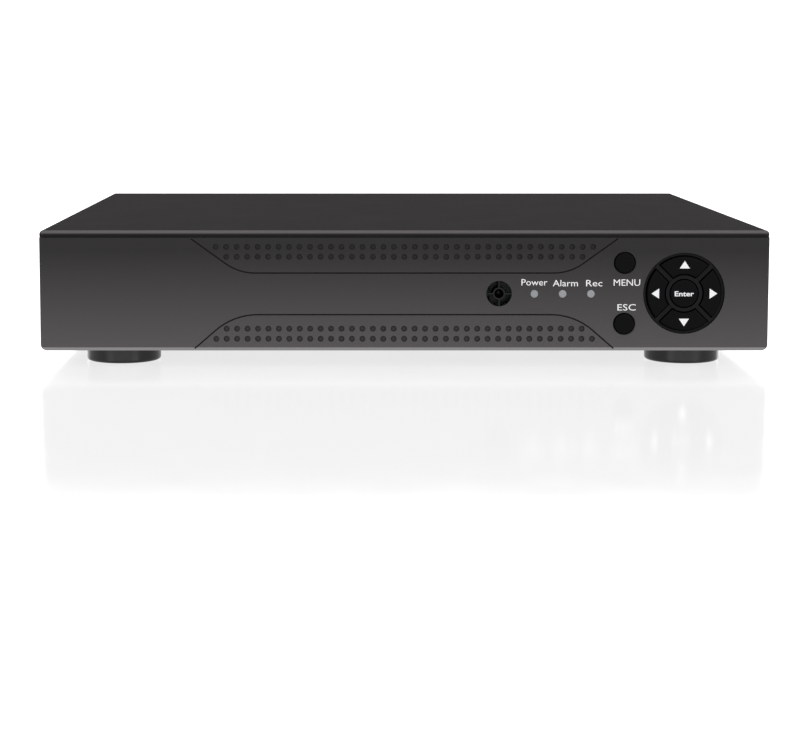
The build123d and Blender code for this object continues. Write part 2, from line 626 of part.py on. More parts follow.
def heat_sink():
    """Finned aluminium block on the processor."""
    half = 19.0
    bottom = BOARD_TOP + 2.0
    sink = block(CHIP_X - half, CHIP_X + half, CHIP_Y - half, CHIP_Y + half, bottom, bottom + 12.0)
    fin_count = 10
    pitch = 2 * half / fin_count
    for step in range(fin_count - 1):
        x = CHIP_X - half + pitch * (step + 1)
        sink -= block(x - 1.1, x + 1.1, CHIP_Y - half - 1, CHIP_Y + half + 1, bottom + 2.5, bottom + 13.0)
    return sink


def memory_chips():
    """Four memory packages beside the processor and two video converters behind the sockets."""
    chips = []
    for x in (18.0, 32.0):
        for y in (CHIP_Y - 9.0, CHIP_Y + 9.0):
            chips.append(block(x - 5.5, x + 5.5, y - 6.5, y + 6.5, BOARD_TOP, BOARD_TOP + 1.1))
    for x in (24.7, 66.3):
        chips.append(block(x - 7, x + 7, BOARD_REAR - 34, BOARD_REAR - 20, BOARD_TOP, BOARD_TOP + 1.4))
    return group(chips)


def cell_holder():
    """Low cup for the clock's coin cell, with an opening at one side."""
    cup = post(12.0, BOARD_TOP, BOARD_TOP + 4.6, CELL_X, CELL_Y)
    cup -= post(10.15, BOARD_TOP + 1.0, BOARD_TOP + 6.0, CELL_X, CELL_Y)
    return cup - block(CELL_X - 4, CELL_X + 4, CELL_Y - 13, CELL_Y - 9, BOARD_TOP + 1.0, BOARD_TOP + 6)


def coin_cell():
    cell = post(10.0, BOARD_TOP + 1.0, BOARD_TOP + 4.2, CELL_X, CELL_Y)
    return chamfer(cell.edges().group_by(Axis.Z)[-1], 0.4)


def capacitors():
    """Electrolytic capacitors of the power section."""
    cans = []
    for x, y, radius, height in (
        (-100.0, BOARD_REAR - 32.0, 5.0, 12.5), (-87.0, BOARD_REAR - 32.0, 4.0, 11.5),
        (-103.0, BOARD_REAR - 50.0, 4.0, 11.5), (-76.0, BOARD_REAR - 34.0, 3.15, 7.7),
        (-92.0, BOARD_REAR - 48.0, 3.15, 7.7),
    ):
        can = post(radius, BOARD_TOP, BOARD_TOP + height, x, y)
        cans.append(fillet(can.edges().group_by(Axis.Z)[-1], 0.5))
    return group(cans)


def buzzer():
    """Round alarm sounder with its sound hole."""
    body = post(6.0, BOARD_TOP, BOARD_TOP + 8.5, 78.0, BOARD_REAR - 46.0)
    return body - post(1.0, BOARD_TOP + 6.0, BOARD_TOP + 9.0, 78.0, BOARD_REAR - 46.0)


def drive_sockets():
    """The board's two drive sockets and the key board's header, open to the front."""
    sockets = []
    for x, half in ((DATA_SOCKET_X, 4.5), (POWER_SOCKET_X, 5.0), (RIBBON_X, 7.5)):
        body = block(x - half, x + half, SOCKET_Y0, SOCKET_Y1, BOARD_TOP, BOARD_TOP + 10.0)
        inner = half - 1
        hollow = block(x - inner, x + inner, SOCKET_Y0 - 1, SOCKET_Y1 - 2, BOARD_TOP + 1.5, BOARD_TOP + 8.5)
        sockets.append(body - hollow)
    return group(sockets)


# ---------------------------------------------------------------- drive and cables
def hard_disk():
    """3.5 inch drive lying on the tray's four bosses."""
    length, width, height = DRIVE_SIZE
    x1, y1 = DRIVE_LEFT + length, DRIVE_FRONT + width
    drive = block(DRIVE_LEFT, x1, DRIVE_FRONT, y1, DRIVE_BOTTOM, DRIVE_BOTTOM + height)
    drive = fillet(drive.edges().filter_by(Axis.Z), 2.5)
    top = DRIVE_BOTTOM + height
    drive -= block(DRIVE_LEFT + 6, x1 - 20, DRIVE_FRONT + 5, y1 - 5, top - 0.8, top + 1)
    drive += post(14.0, top - 0.8, top - 0.3, DRIVE_LEFT + 55, DRIVE_FRONT + width / 2)
    for y, half in ((DATA_PLUG_Y, 6.0), (POWER_PLUG_Y, 9.0)):
        drive -= block(x1 - 5.0, x1 + 1, y - half, y + half, DRIVE_BOTTOM + 1.5, DRIVE_BOTTOM + 7.5)
    for x, y in DRIVE_SCREWS:
        drive -= post(1.5, DRIVE_BOTTOM - 1, DRIVE_BOTTOM + 4.0, x, y)
    return drive


def hard_disk_screws():
    """Screws up through the tray's bosses into the drive."""
    screws = []
    for x, y in DRIVE_SCREWS:
        head = post(3.0, 0.4, DRIVE_BOTTOM - 1.0, x, y)
        head -= Pos(x, y, BASE + 0.4) * cross_recess(1.7, 0.6, 0.9)
        screws.append(head + post(1.45, DRIVE_BOTTOM - 1.0, DRIVE_BOTTOM + 3.8, x, y))
    return group(screws)


def drive_cable(radius, plug_half, plug_y, socket_x):
    """A round cable from the drive's side, round one bend, to its socket on the main board."""
    x1 = DRIVE_LEFT + DRIVE_SIZE[0]
    plug = block(x1 - 4.5, x1 + 6, plug_y - plug_half, plug_y + plug_half, PLUG_Z - 2.5, PLUG_Z + 2.5)
    end = block(socket_x - 3, socket_x + 3, SOCKET_Y0 - 6, SOCKET_Y1 - 2.5, CABLE_Z - 3, CABLE_Z + 3)
    start = (x1 + 6, plug_y, BASE + PLUG_Z)
    corner = (socket_x, plug_y, BASE + PLUG_Z)
    climb = (socket_x, SOCKET_Y0 - 30, BASE + PLUG_Z)
    level = (socket_x, SOCKET_Y0 - 14, BASE + CABLE_Z)
    finish = (socket_x, SOCKET_Y0 - 6, BASE + CABLE_Z)
    path = FilletPolyline(start, corner, climb, level, finish, radius=(6.0, 20.0, 12.0))
    tube = sweep(Plane(origin=start, z_dir=(1, 0, 0)) * Circle(radius), path=path)
    return plug + tube + end


def drive_data_cable():
    return drive_cable(2.0, 5.6, DATA_PLUG_Y, DATA_SOCKET_X)


def drive_power_cable():
    return drive_cable(2.4, 8.6, POWER_PLUG_Y, POWER_SOCKET_X)


def ribbon_cable():
    """Flat cable and its two plugs, from the key board along the floor to the main board."""
    key_y = FRONT + KEY_BOARD_BACK
    start = (key_y + 5.0, 13.0)
    drop = (key_y + 14.0, 13.0)
    floor_start = (key_y + 22.0, 2.6)
    floor_end = (SOCKET_Y0 - 24.0, 2.6)
    level = (SOCKET_Y0 - 14.0, CABLE_Z)
    finish = (SOCKET_Y0 - 5.0, CABLE_Z)
    points = [(y, BASE + z) for y, z in (start, drop, floor_start, floor_end, level, finish)]
    path = FilletPolyline(*points, radius=4.0)
    flat = Plane(origin=(RIBBON_X - 5.5, 0, 0), x_dir=(0, 1, 0), z_dir=(1, 0, 0))
    strip = extrude(flat * trace(path, line_width=0.9), 11.0)
    front_plug = block(RIBBON_X - 7, RIBBON_X + 7, key_y, key_y + 5.0, 10.5, 15.5)
    plug_end = SOCKET_Y1 - 2.5
    rear_plug = block(RIBBON_X - 6, RIBBON_X + 6, SOCKET_Y0 - 5, plug_end, CABLE_Z - 2.5, CABLE_Z + 2.5)
    return strip + front_plug + rear_plug


# ---------------------------------------------------------------- video sockets
def bnc_places():
    return [(x, z) for x in BNC_COLUMNS for z in BNC_ROWS]


def bnc_bodies():
    """Moulded blocks on the main board, one for each column of sockets."""
    blocks = []
    for x in BNC_COLUMNS:
        body = block(x - 7.1, x + 7.1, HOUSING_BACK, PANEL_BACK - GAP, BOARD_TOP, 37.0)
        for z in BNC_ROWS:
            body -= rod(BNC_COLLAR_RADIUS, SOCKET_ROOT, PANEL_BACK, x, z)
        blocks.append(body)
    return group(blocks)


def bnc_shell(x, z):
    """Collar, bayonet barrel with two lugs, and an open bore."""
    shell = rod(BNC_COLLAR_RADIUS, SOCKET_ROOT, BNC_COLLAR_END, x, z)
    shell = chamfer(shell.edges().filter_by(GeomType.CIRCLE).sort_by(Axis.Y)[-1], 0.5)
    barrel = rod(BNC_BARREL_RADIUS, BNC_COLLAR_END, BNC_TIP, x, z)
    barrel = chamfer(barrel.edges().filter_by(GeomType.CIRCLE).sort_by(Axis.Y)[-1], 0.4)
    shell += barrel
    lug_y = BNC_TIP - 5.2
    shell += Pos(x, lug_y, BASE + z) * Rotation(0, 90, 0) * Cylinder(1.0, 11.0)
    shell -= rod(4.05, PANEL_FACE - 1.0, BNC_TIP + 1, x, z)
    return shell - rod(2.5, SOCKET_ROOT - 1, PANEL_FACE, x, z)


def bnc_shells():
    return group([bnc_shell(x, z) for x, z in bnc_places()])


def bnc_insulators():
    """White sleeves that carry the centre contacts."""
    sleeves = []
    for x, z in bnc_places():
        sleeve = rod(2.45, SOCKET_ROOT, BNC_TIP - 1.6, x, z)
        sleeve = chamfer(sleeve.edges().filter_by(GeomType.CIRCLE).sort_by(Axis.Y)[-1], 0.3)
        sleeves.append(sleeve - rod(1.1, SOCKET_ROOT - 1, BNC_TIP, x, z))
    return group(sleeves)


def bnc_contacts():
    """Split centre contacts."""
    contacts = []
    for x, z in bnc_places():
        tip = BNC_TIP - 2.0
        contact = rod(1.05, SOCKET_ROOT, tip, x, z) - rod(0.65, tip - 6.0, tip + 1, x, z)
        contact -= block(x - 0.16, x + 0.16, tip - 4.0, tip + 1, z - 2, z + 2)
        contact -= block(x - 2, x + 2, tip - 4.0, tip + 1, z - 0.16, z + 0.16)
        contacts.append(contact)
    return group(contacts)


def blanking_plug():
    """Black disc with a short barrel that closes the unused video hole."""
    disc = rod(7.15, PANEL_FACE, PANEL_FACE + 1.3, OUT_COLUMN, PLUG_ROW)
    disc = fillet(disc.edges().filter_by(GeomType.CIRCLE).sort_by(Axis.Y)[-1], 0.5)
    barrel = rod(6.5, PANEL_BACK - 3.0, PANEL_FACE, OUT_COLUMN, PLUG_ROW)
    return disc + barrel - rod(5.6, PANEL_BACK - 4.0, PANEL_FACE - 0.2, OUT_COLUMN, PLUG_ROW)


# ---------------------------------------------------------------- phono sockets
def phono_housings():
    """Moulded blocks behind the phono sockets."""
    four = block(-72.0, -42.8, HOUSING_BACK, PANEL_BACK - GAP, BOARD_TOP, 35.0)
    one = block(OUT_COLUMN - 6.9, OUT_COLUMN + 6.9, HOUSING_BACK, PANEL_BACK - GAP, BOARD_TOP, 21.5)
    for x, z in WHITE_PHONO[1:] + RED_PHONO:
        four -= rod(PHONO_RADIUS + 0.2, SOCKET_ROOT, PANEL_BACK, x, z)
    four -= rod(1.45, PANEL_BACK - 8.0, PANEL_BACK, *AUDIO_SCREW)
    one -= rod(BNC_COLLAR_RADIUS, SOCKET_ROOT, PANEL_BACK, OUT_COLUMN, AUDIO_OUT_ROW)
    return group([four, one])


def phono_shells():
    """Plated sleeves; the audio output also has a wide collar."""
    shells = []
    for x, z in WHITE_PHONO + RED_PHONO:
        shell = rod(PHONO_RADIUS, PANEL_FACE, PHONO_TIP, x, z)
        shell = fillet(shell.edges().filter_by(GeomType.CIRCLE).sort_by(Axis.Y)[-1], 0.3)
        shell += rod(PHONO_ROOT_RADIUS, SOCKET_ROOT, PANEL_FACE, x, z)
        if x == OUT_COLUMN:
            collar = rod(BNC_COLLAR_RADIUS, SOCKET_ROOT, PANEL_FACE + 1.2, x, z)
            shell += chamfer(collar.edges().filter_by(GeomType.CIRCLE).sort_by(Axis.Y)[-1], 0.4)
        shell -= rod(PHONO_ROOT_BORE, SOCKET_ROOT - 1, PHONO_TIP, x, z)
        shells.append(shell - rod(PHONO_BORE, PHONO_FLOOR, PHONO_TIP + 1, x, z))
    return group(shells)


def phono_insert(x, z):
    """Coloured plastic core with the hole for the plug's pin."""
    core = rod(PHONO_ROOT_BORE - 0.02, SOCKET_ROOT, PHONO_TIP - 3.0, x, z)
    core += rod(PHONO_BORE - 0.02, PHONO_FLOOR, PHONO_TIP - 3.0, x, z)
    core += rod(3.25, PHONO_TIP - 3.0, PHONO_TIP - 0.6, x, z)
    core = fillet(core.edges().filter_by(GeomType.CIRCLE).sort_by(Axis.Y)[-1], 0.35)
    return core - rod(1.65, SOCKET_ROOT + 1.0, PHONO_TIP, x, z)


def phono_white_inserts():
    return group([phono_insert(x, z) for x, z in WHITE_PHONO])


def phono_red_inserts():
    return group([phono_insert(x, z) for x, z in RED_PHONO])


def rear_panel_screw():
    """Cross-recess screw between the four audio sockets."""
    return pan_screw(AUDIO_SCREW[0], AUDIO_SCREW[1], PANEL_FACE, 1.4, 3.3, -1, 7.0)


# ---------------------------------------------------------------- monitor sockets
def monitor_outline(grow):
    """The D shape of the 15-pin socket, wide side up."""
    top_half, bottom_half, height = 8.3 + grow, 7.1 + grow, 7.9 + 2 * grow
    outline = Polyline(
        (-bottom_half, -height / 2), (bottom_half, -height / 2),
        (top_half, height / 2), (-top_half, height / 2), close=True
    )
    face = make_face(outline)
    return fillet(face.vertices(), 1.6 + grow / 2)


def monitor_socket_shell():
    """D-shaped metal shell on its flange."""
    rim_sketch = Pos(MONITOR_X, MONITOR_Z) * (monitor_outline(0.25) - monitor_outline(-0.25))
    rim = slab(rim_sketch, PANEL_BACK - 2.0, MONITOR_TIP)
    flange = Rectangle(30.8, 12.4) - monitor_outline(-0.25)
    for side in (-1, 1):
        flange -= Pos(side * JACKSCREW_SPACING / 2, 0) * Circle(1.6)
    return rim + slab(Pos(MONITOR_X, MONITOR_Z) * flange, PANEL_BACK - 1.0, PANEL_BACK - GAP)


def monitor_pin_places():
    """Three rows of five, the middle row half a pitch to one side."""
    places = []
    for row in (-1, 0, 1):
        shift = 0.57 if row == 0 else -0.57
        for column in range(-2, 3):
            places.append((MONITOR_X + 2.29 * column + shift, MONITOR_Z + 1.98 * row))
    return places


def monitor_socket_insert():
    """Blue core with fifteen contact holes, and the block that stands it on the main board."""
    core = slab(Pos(MONITOR_X, MONITOR_Z) * monitor_outline(-0.27), PANEL_BACK - 2.0, MONITOR_TIP - 0.3)
    front = core.faces().sort_by(Axis.Y)[-1].edges()
    core = chamfer(front, 0.7)
    for x, z in monitor_pin_places():
        core -= rod(0.55, MONITOR_TIP - 4.5, MONITOR_TIP, x, z)
    core += block(MONITOR_X - 15.4, MONITOR_X + 15.4, HOUSING_BACK, PANEL_BACK - 2.0, 24.0, 36.2)
    return core + block(MONITOR_X - 14.0, MONITOR_X + 14.0, HOUSING_BACK - 6.0, HOUSING_BACK, BOARD_TOP, 36.2)


def jackscrews():
    """Two hexagonal posts, threaded to take the plug's screws."""
    posts = []
    for side in (-1, 1):
        x = MONITOR_X + side * JACKSCREW_SPACING / 2
        hexagon = Pos(x, MONITOR_Z) * RegularPolygon(2.4, 6, major_radius=False)
        screw = slab(hexagon, PANEL_FACE, PANEL_FACE + 5.0)
        screw = chamfer(screw.faces().sort_by(Axis.Y)[-1].edges(), 0.3)
        screw += rod(1.5, PANEL_BACK - 2.0, PANEL_FACE, x, MONITOR_Z)
        posts.append(screw - rod(1.2, PANEL_FACE - 1.0, PANEL_FACE + 6.0, x, MONITOR_Z))
    return group(posts)


def hd_outline(grow):
    """The digital monitor socket: a flat opening with its lower corners cut away."""
    half, low_half = HD_WIDTH / 2 + grow, HD_WIDTH / 2 - 2.0 + grow
    top, bottom, shoulder = HD_HEIGHT / 2 + grow, -HD_HEIGHT / 2 - grow, -HD_HEIGHT / 2 + 1.8
    outline = Polyline(
        (-low_half, bottom), (low_half, bottom), (half, shoulder),
        (half, top), (-half, top), (-half, shoulder), close=True
    )
    return make_face(outline)


def hd_socket_shell():
    """Drawn metal shell, closed at the back."""
    sleeve = slab(Pos(HD_X, HD_Z) * (hd_outline(0) - hd_outline(-0.45)), HD_BACK, HD_TIP)
    return sleeve + slab(Pos(HD_X, HD_Z) * hd_outline(0), HD_BACK - 0.5, HD_BACK)


def hd_socket_tongue():
    """Black tongue with its contacts' bed, rooted in a block at the back of the shell."""
    tongue = block(HD_X - 5.7, HD_X + 5.7, HD_BACK + 2.5, HD_TIP - 1.8, HD_Z - 0.2, HD_Z + 1.2)
    return tongue + slab(Pos(HD_X, HD_Z) * hd_outline(-0.5), HD_BACK + 0.02, HD_BACK + 2.5)


# ---------------------------------------------------------------- network and data ports
def network_opening(grow):
    """Square plug opening with the stepped notch for the latch, at the top."""
    bottom, top = NETWORK_BOTTOM - grow, NETWORK_TOP + grow
    opening = Pos(STACK_X, (bottom + top) / 2) * Rectangle(NETWORK_WIDTH + 2 * grow, top - bottom)
    for width, reach in LATCH_STEPS:
        height = reach + grow - bottom
        opening += Pos(STACK_X, bottom + height / 2) * Rectangle(width + 2 * grow, height)
    return opening


def port_openings(grow):
    """The two flat data ports."""
    ports = Sketch()
    for z in DATA_PORT_ROWS:
        ports += Pos(STACK_X, z) * Rectangle(DATA_PORT_WIDTH + 2 * grow, DATA_PORT_HEIGHT + 2 * grow)
    return ports


def lamp_sketch(grow):
    """Windows of the two link lamps."""
    lamps = Sketch()
    for side in (-1, 1):
        window = Rectangle(LAMP_WIDTH + 2 * grow, LAMP_HEIGHT + 2 * grow)
        lamps += Pos(STACK_X + side * LAMP_OFFSET, LAMP_Z) * window
    return lamps


def network_stack_shield():
    """Nickel-plated cage round the ports: thin walls, and a front with the openings."""
    half, wall = STACK_WIDTH / 2, 0.45
    inner = half - wall
    back, front = STACK_BACK + wall, STACK_FACE - wall
    cage = block(STACK_X - half, STACK_X + half, STACK_BACK, STACK_FACE, STACK_BOTTOM, STACK_TOP)
    cage -= block(STACK_X - inner, STACK_X + inner, back, front, STACK_BOTTOM - 1, STACK_TOP - wall)
    cage -= slab(network_opening(0) + port_openings(0) + lamp_sketch(0), STACK_FACE - 1, STACK_FACE + 1)
    for z in DATA_PORT_ROWS:
        for side in (-1, 1):
            x = STACK_X + side * 3.4
            cage -= block(x - 0.5, x + 0.5, front - 0.1, STACK_FACE + 1, z - 3.4, z - 2.5)
    return cage


def network_stack_insert():
    """Black core: network cavity with its contact comb, and two ports each with a tongue."""
    half = STACK_WIDTH / 2 - 0.5
    front = STACK_FACE - 0.5
    core = block(STACK_X - half, STACK_X + half, STACK_BACK + 0.5, front, STACK_BOTTOM, STACK_TOP - 0.5)
    core -= slab(network_opening(0), front - 13.5, front + 1)
    core -= slab(port_openings(0), front - 12.0, front + 1)
    core -= slab(lamp_sketch(0.05), front - 3.0, front + 1)
    for z in DATA_PORT_ROWS:
        core += block(STACK_X - 5.6, STACK_X + 5.6, front - 12.5, front - 1.2, z + 0.3, z + 2.1)
    return core


def port_lamps():
    """Two link lamps, one each side of the network port's notch."""
    return slab(lamp_sketch(-0.02), STACK_FACE - 3.0, STACK_FACE - 0.1)


# ---------------------------------------------------------------- serial socket, power inlet, contacts
def serial_opening():
    """One keyed opening: square with a waist at the top and a notch at the bottom."""
    opening = Rectangle(2.9, 5.4)
    opening -= Pos(1.45, 1.6) * Circle(0.45)
    opening -= Pos(-1.45, 1.6) * Circle(0.45)
    return opening - Pos(0, -2.7) * Rotation(0, 0, 45) * Rectangle(1.0, 1.0)


def serial_socket():
    """Green two-way socket for a plug-in screw terminal."""
    outline = Pos(SERIAL_X, SERIAL_Z) * Rectangle(SERIAL_WIDTH, SERIAL_HEIGHT)
    body = slab(outline, PANEL_BACK - 9.0, SERIAL_TIP)
    for side in (-1, 1):
        place = Pos(SERIAL_X + side * SERIAL_PITCH / 2, SERIAL_Z - 0.1)
        body -= slab(place * serial_opening(), SERIAL_TIP - 8.0, SERIAL_TIP + 1)
    return body


def dc_jack():
    """Square power inlet with a round bore."""
    outline = Pos(POWER_X, POWER_Z) * Rectangle(POWER_WIDTH, POWER_HEIGHT)
    body = slab(outline, PANEL_BACK - 12.5, POWER_TIP)
    body = fillet(body.faces().sort_by(Axis.Y)[-1].edges(), 0.3)
    return body - rod(3.1, POWER_TIP - 9.5, POWER_TIP + 1, POWER_X, POWER_BORE_Z)


def socket_pins():
    """Metal contacts: two in the serial socket, one in the power inlet, eight in the network port."""
    pins = [rod(1.0, POWER_TIP - 9.5, POWER_TIP - 1.2, POWER_X, POWER_BORE_Z)]
    for side in (-1, 1):
        x = SERIAL_X + side * SERIAL_PITCH / 2
        pins.append(slab(Pos(x, SERIAL_Z - 0.7) * Rectangle(1.0, 1.0), SERIAL_TIP - 8.0, SERIAL_TIP - 1.5))
    for step in range(8):
        x = STACK_X + 1.02 * (step - 3.5)
        strip = Pos(x, NETWORK_BOTTOM + 0.45) * Rectangle(0.44, 0.9)
        pins.append(slab(strip, STACK_FACE - 13.5, STACK_FACE - 4.0))
    return group(pins)


# ---------------------------------------------------------------- all nodes
def nodes():
    """Every named piece with its shape."""
    feet = ("foot_front_left", "foot_front_right", "foot_rear_left", "foot_rear_right")
    made = {name: foot(x, y) for name, (x, y) in zip(feet, foot_places())}
    turns = {"up_button": 0, "left_button": 90, "down_button": 180, "right_button": 270}
    made.update({name: direction_button(turn) for name, turn in turns.items()})
    made["menu_button"] = round_key(MENU_Z)
    made["esc_button"] = round_key(ESC_Z)
    makers = (
        base_tray, rear_panel, top_cover, front_bezel, foot_screws, cover_screws, bezel_screws,
        enter_button, nav_key_frame, key_board, tact_switches, ir_receiver, indicator_leds,
        main_board, standoffs, board_screws, processor, heat_sink, memory_chips, cell_holder,
        coin_cell, capacitors, buzzer, drive_sockets, hard_disk, hard_disk_screws,
        drive_data_cable, drive_power_cable, ribbon_cable, bnc_bodies, bnc_shells,
        bnc_insulators, bnc_contacts, blanking_plug, phono_housings, phono_shells,
        phono_white_inserts, phono_red_inserts, rear_panel_screw, monitor_socket_shell,
        monitor_socket_insert, jackscrews, hd_socket_shell, hd_socket_tongue,
        network_stack_shield, network_stack_insert, port_lamps, serial_socket, dc_jack,
        socket_pins,
    )
    made.update({maker.__name__: maker() for maker in makers})
    return made


os.makedirs("parts", exist_ok=True)
for name, shape in nodes().items():
    export_step(shape, f"parts/{name}.step")
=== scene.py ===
import json
import math

import bmesh
import bpy
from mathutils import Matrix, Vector


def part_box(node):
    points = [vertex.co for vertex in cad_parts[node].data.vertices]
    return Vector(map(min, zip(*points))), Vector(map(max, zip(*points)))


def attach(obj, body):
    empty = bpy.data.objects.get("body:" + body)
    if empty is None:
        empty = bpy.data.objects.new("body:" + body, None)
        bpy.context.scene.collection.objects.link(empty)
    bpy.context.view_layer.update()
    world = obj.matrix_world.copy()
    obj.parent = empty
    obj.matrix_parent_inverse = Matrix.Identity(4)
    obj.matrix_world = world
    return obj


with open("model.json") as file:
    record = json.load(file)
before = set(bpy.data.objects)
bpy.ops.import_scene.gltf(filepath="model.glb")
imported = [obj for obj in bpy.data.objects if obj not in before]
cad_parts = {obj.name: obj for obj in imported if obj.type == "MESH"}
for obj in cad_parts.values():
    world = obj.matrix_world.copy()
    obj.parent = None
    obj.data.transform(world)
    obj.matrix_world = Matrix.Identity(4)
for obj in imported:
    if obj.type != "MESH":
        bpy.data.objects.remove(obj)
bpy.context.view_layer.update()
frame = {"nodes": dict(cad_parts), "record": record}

# ---------------------------------------------------------------- places taken from the frame
MM = 0.001
BEZEL_LOW, BEZEL_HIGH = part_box("front_bezel")
FRONT_Y = BEZEL_LOW[1]
PANEL_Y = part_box("rear_panel")[1][1]
CASE_Z = BEZEL_LOW[2]
MOUNTS = {mount["name"]: Vector(mount["pos_m"]) for mount in frame["record"]["mounts"]}

# ---------------------------------------------------------------- look of the materials
IR_GRILLE_RADIUS = 4.4 * MM
# reach of the painted shade in the bezel's grooves
BEZEL_GAP_SHADE_REACH = 1.5 * MM
COAT_ROUGHNESS = 0.15
NODE_SAMPLES = 4

# ---------------------------------------------------------------- print, thickness and sink in metres
PRINT_THICKNESS = 0.01 * MM
PRINT_SINK = 0.01 * MM
FONT_CAP_HEIGHT = 0.729

# ---------------------------------------------------------------- print, in millimetres
LAMP_RADIUS = 1.9
FRAME_LINE = 0.55
PLAQUE_HEIGHT = 3.7
PLAQUE_CORNER = 0.8
PLAQUE_CAP = 2.0

# ---------------------------------------------------------------- print, how far outlines are thickened
BOLD = 0.03
NUMBER_BOLD = 0.04
PAD_BOLD = 0.02
FINE_BOLD = 0.012


def middle(node):
    """Centre of a CAD node's box."""
    low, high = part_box(node)
    return (Vector(low) + Vector(high)) / 2


# ---------------------------------------------------------------- materials
def srgb(code):
    """Linear colour of a six-digit hex code."""
    parts = [int(code[i:i + 2], 16) / 255 for i in (0, 2, 4)]
    return tuple(p / 12.92 if p <= 0.04045 else ((p + 0.055) / 1.055) ** 2.4 for p in parts)


def scaled(color, factor):
    return tuple(min(1.0, part * factor) for part in color)


class Graph:
    """A material's node tree with short ways to add and join nodes."""

    def __init__(self, name):
        self.material = bpy.data.materials.new(name)
        self.material.use_nodes = True
        self.tree = self.material.node_tree
        self.shader = self.tree.nodes["Principled BSDF"]
        coordinates = self.add("ShaderNodeTexCoord")
        self.place = coordinates.outputs["Object"]

    def add(self, kind, **inputs):
        node = self.tree.nodes.new(kind)
        for key, value in inputs.items():
            self.put(node, key, value)
        return node

    def put(self, node, key, value):
        """Links or sets an input, named by its label, or by its number as in _0."""
        socket = node.inputs[int(key[1:])] if key[0] == "_" else node.inputs[key.replace("_", " ")]
        if isinstance(value, bpy.types.NodeSocket):
            self.tree.links.new(value, socket)
        else:
            socket.default_value = value

    def stretched(self, factors):
        """Object coordinates scaled per axis."""
        return self.add("ShaderNodeMapping", Vector=self.place, Scale=factors).outputs["Vector"]

    def noise(self, scale, detail=3.0, vector=None):
        node = self.add("ShaderNodeTexNoise", Vector=vector or self.place, Scale=scale, Detail=detail)
        return node.outputs["Fac"]

    def remap(self, value, low, high, start=0.3, end=0.7):
        """Takes a value's span from start to end onto the span from low to high, held at both ends."""
        node = self.add("ShaderNodeMapRange")
        for index, entry in enumerate((value, start, end, low, high)):
            self.put(node, f"_{index}", entry)
        return node.outputs[0]

    def math(self, operation, a, b=0.0):
        node = self.tree.nodes.new("ShaderNodeMath")
        node.operation = operation
        self.put(node, "_0", a)
        self.put(node, "_1", b)
        return node.outputs[0]

    def mix(self, factor, a, b):
        """Blend of two colours."""
        node = self.tree.nodes.new("ShaderNodeMix")
        node.data_type = "RGBA"
        for index, entry in ((0, factor), (6, a), (7, b)):
            value = (*entry, 1.0) if isinstance(entry, tuple) else entry
            self.put(node, f"_{index}", value)
        return node.outputs[2]

    def rounding(self, radius):
        """The normal as if every edge were rounded to a radius."""
        bevel = self.tree.nodes.new("ShaderNodeBevel")
        bevel.samples = NODE_SAMPLES
        bevel.inputs["Radius"].default_value = radius
        return bevel.outputs[0]

    def edges(self, radius):
        """1 on convex and concave edges, 0 on flats, found by rounding the normal."""
        sharp, flat = 0.80, 0.97
        bevel = self.rounding(radius)
        geometry = self.tree.nodes.new("ShaderNodeNewGeometry")
        dot = self.tree.nodes.new("ShaderNodeVectorMath")
        dot.operation = "DOT_PRODUCT"
        self.tree.links.new(bevel, dot.inputs[0])
        self.tree.links.new(geometry.outputs["Normal"], dot.inputs[1])
        return self.remap(dot.outputs["Value"], 1.0, 0.0, sharp, flat)

    def painted_gap_shade(self, reach):
        """Painted shade mask: 1 deep in crevices and bores narrower than the reach, 0 in the open, found by
        ambient occlusion.
        """
        deep, open_air = 0.25, 0.85
        node = self.tree.nodes.new("ShaderNodeAmbientOcclusion")
        node.samples = NODE_SAMPLES
        node.inputs["Distance"].default_value = reach
        return self.remap(node.outputs["AO"], 1.0, 0.0, deep, open_air)

    def facing(self, direction, low, high):
        """1 where the surface faces the direction."""
        geometry = self.tree.nodes.new("ShaderNodeNewGeometry")
        dot = self.tree.nodes.new("ShaderNodeVectorMath")
        dot.operation = "DOT_PRODUCT"
        self.tree.links.new(geometry.outputs["Normal"], dot.inputs[0])
        dot.inputs[1].default_value = Vector(direction).normalized()
        return self.remap(dot.outputs["Value"], 0.0, 1.0, low, high)

    def along(self, axis, start, end, low, high):
        """A value that goes from low to high between two places on an axis, in metres."""
        split = self.add("ShaderNodeSeparateXYZ", Vector=self.place)
        return self.remap(split.outputs[axis], low, high, start, end)

    def near(self, centre, radius):
        """1 within a radius of a line along Y through the centre."""
        blur = 0.05 * MM
        offset = self.add("ShaderNodeVectorMath", _0=self.place, _1=centre)
        offset.operation = "SUBTRACT"
        flat = self.add("ShaderNodeVectorMath", _0=offset.outputs[0], _1=(1.0, 0.0, 1.0))
        flat.operation = "MULTIPLY"
        length = self.add("ShaderNodeVectorMath", _0=flat.outputs[0])
        length.operation = "LENGTH"
        return self.remap(length.outputs["Value"], 1.0, 0.0, radius, radius + blur)

    def tint(self, amount, color):
        """Lays a colour over the base colour by an amount."""
        base = self.shader.inputs["Base Color"].links[0].from_socket
        self.put(self.shader, "Base Color", self.mix(amount, base, color))


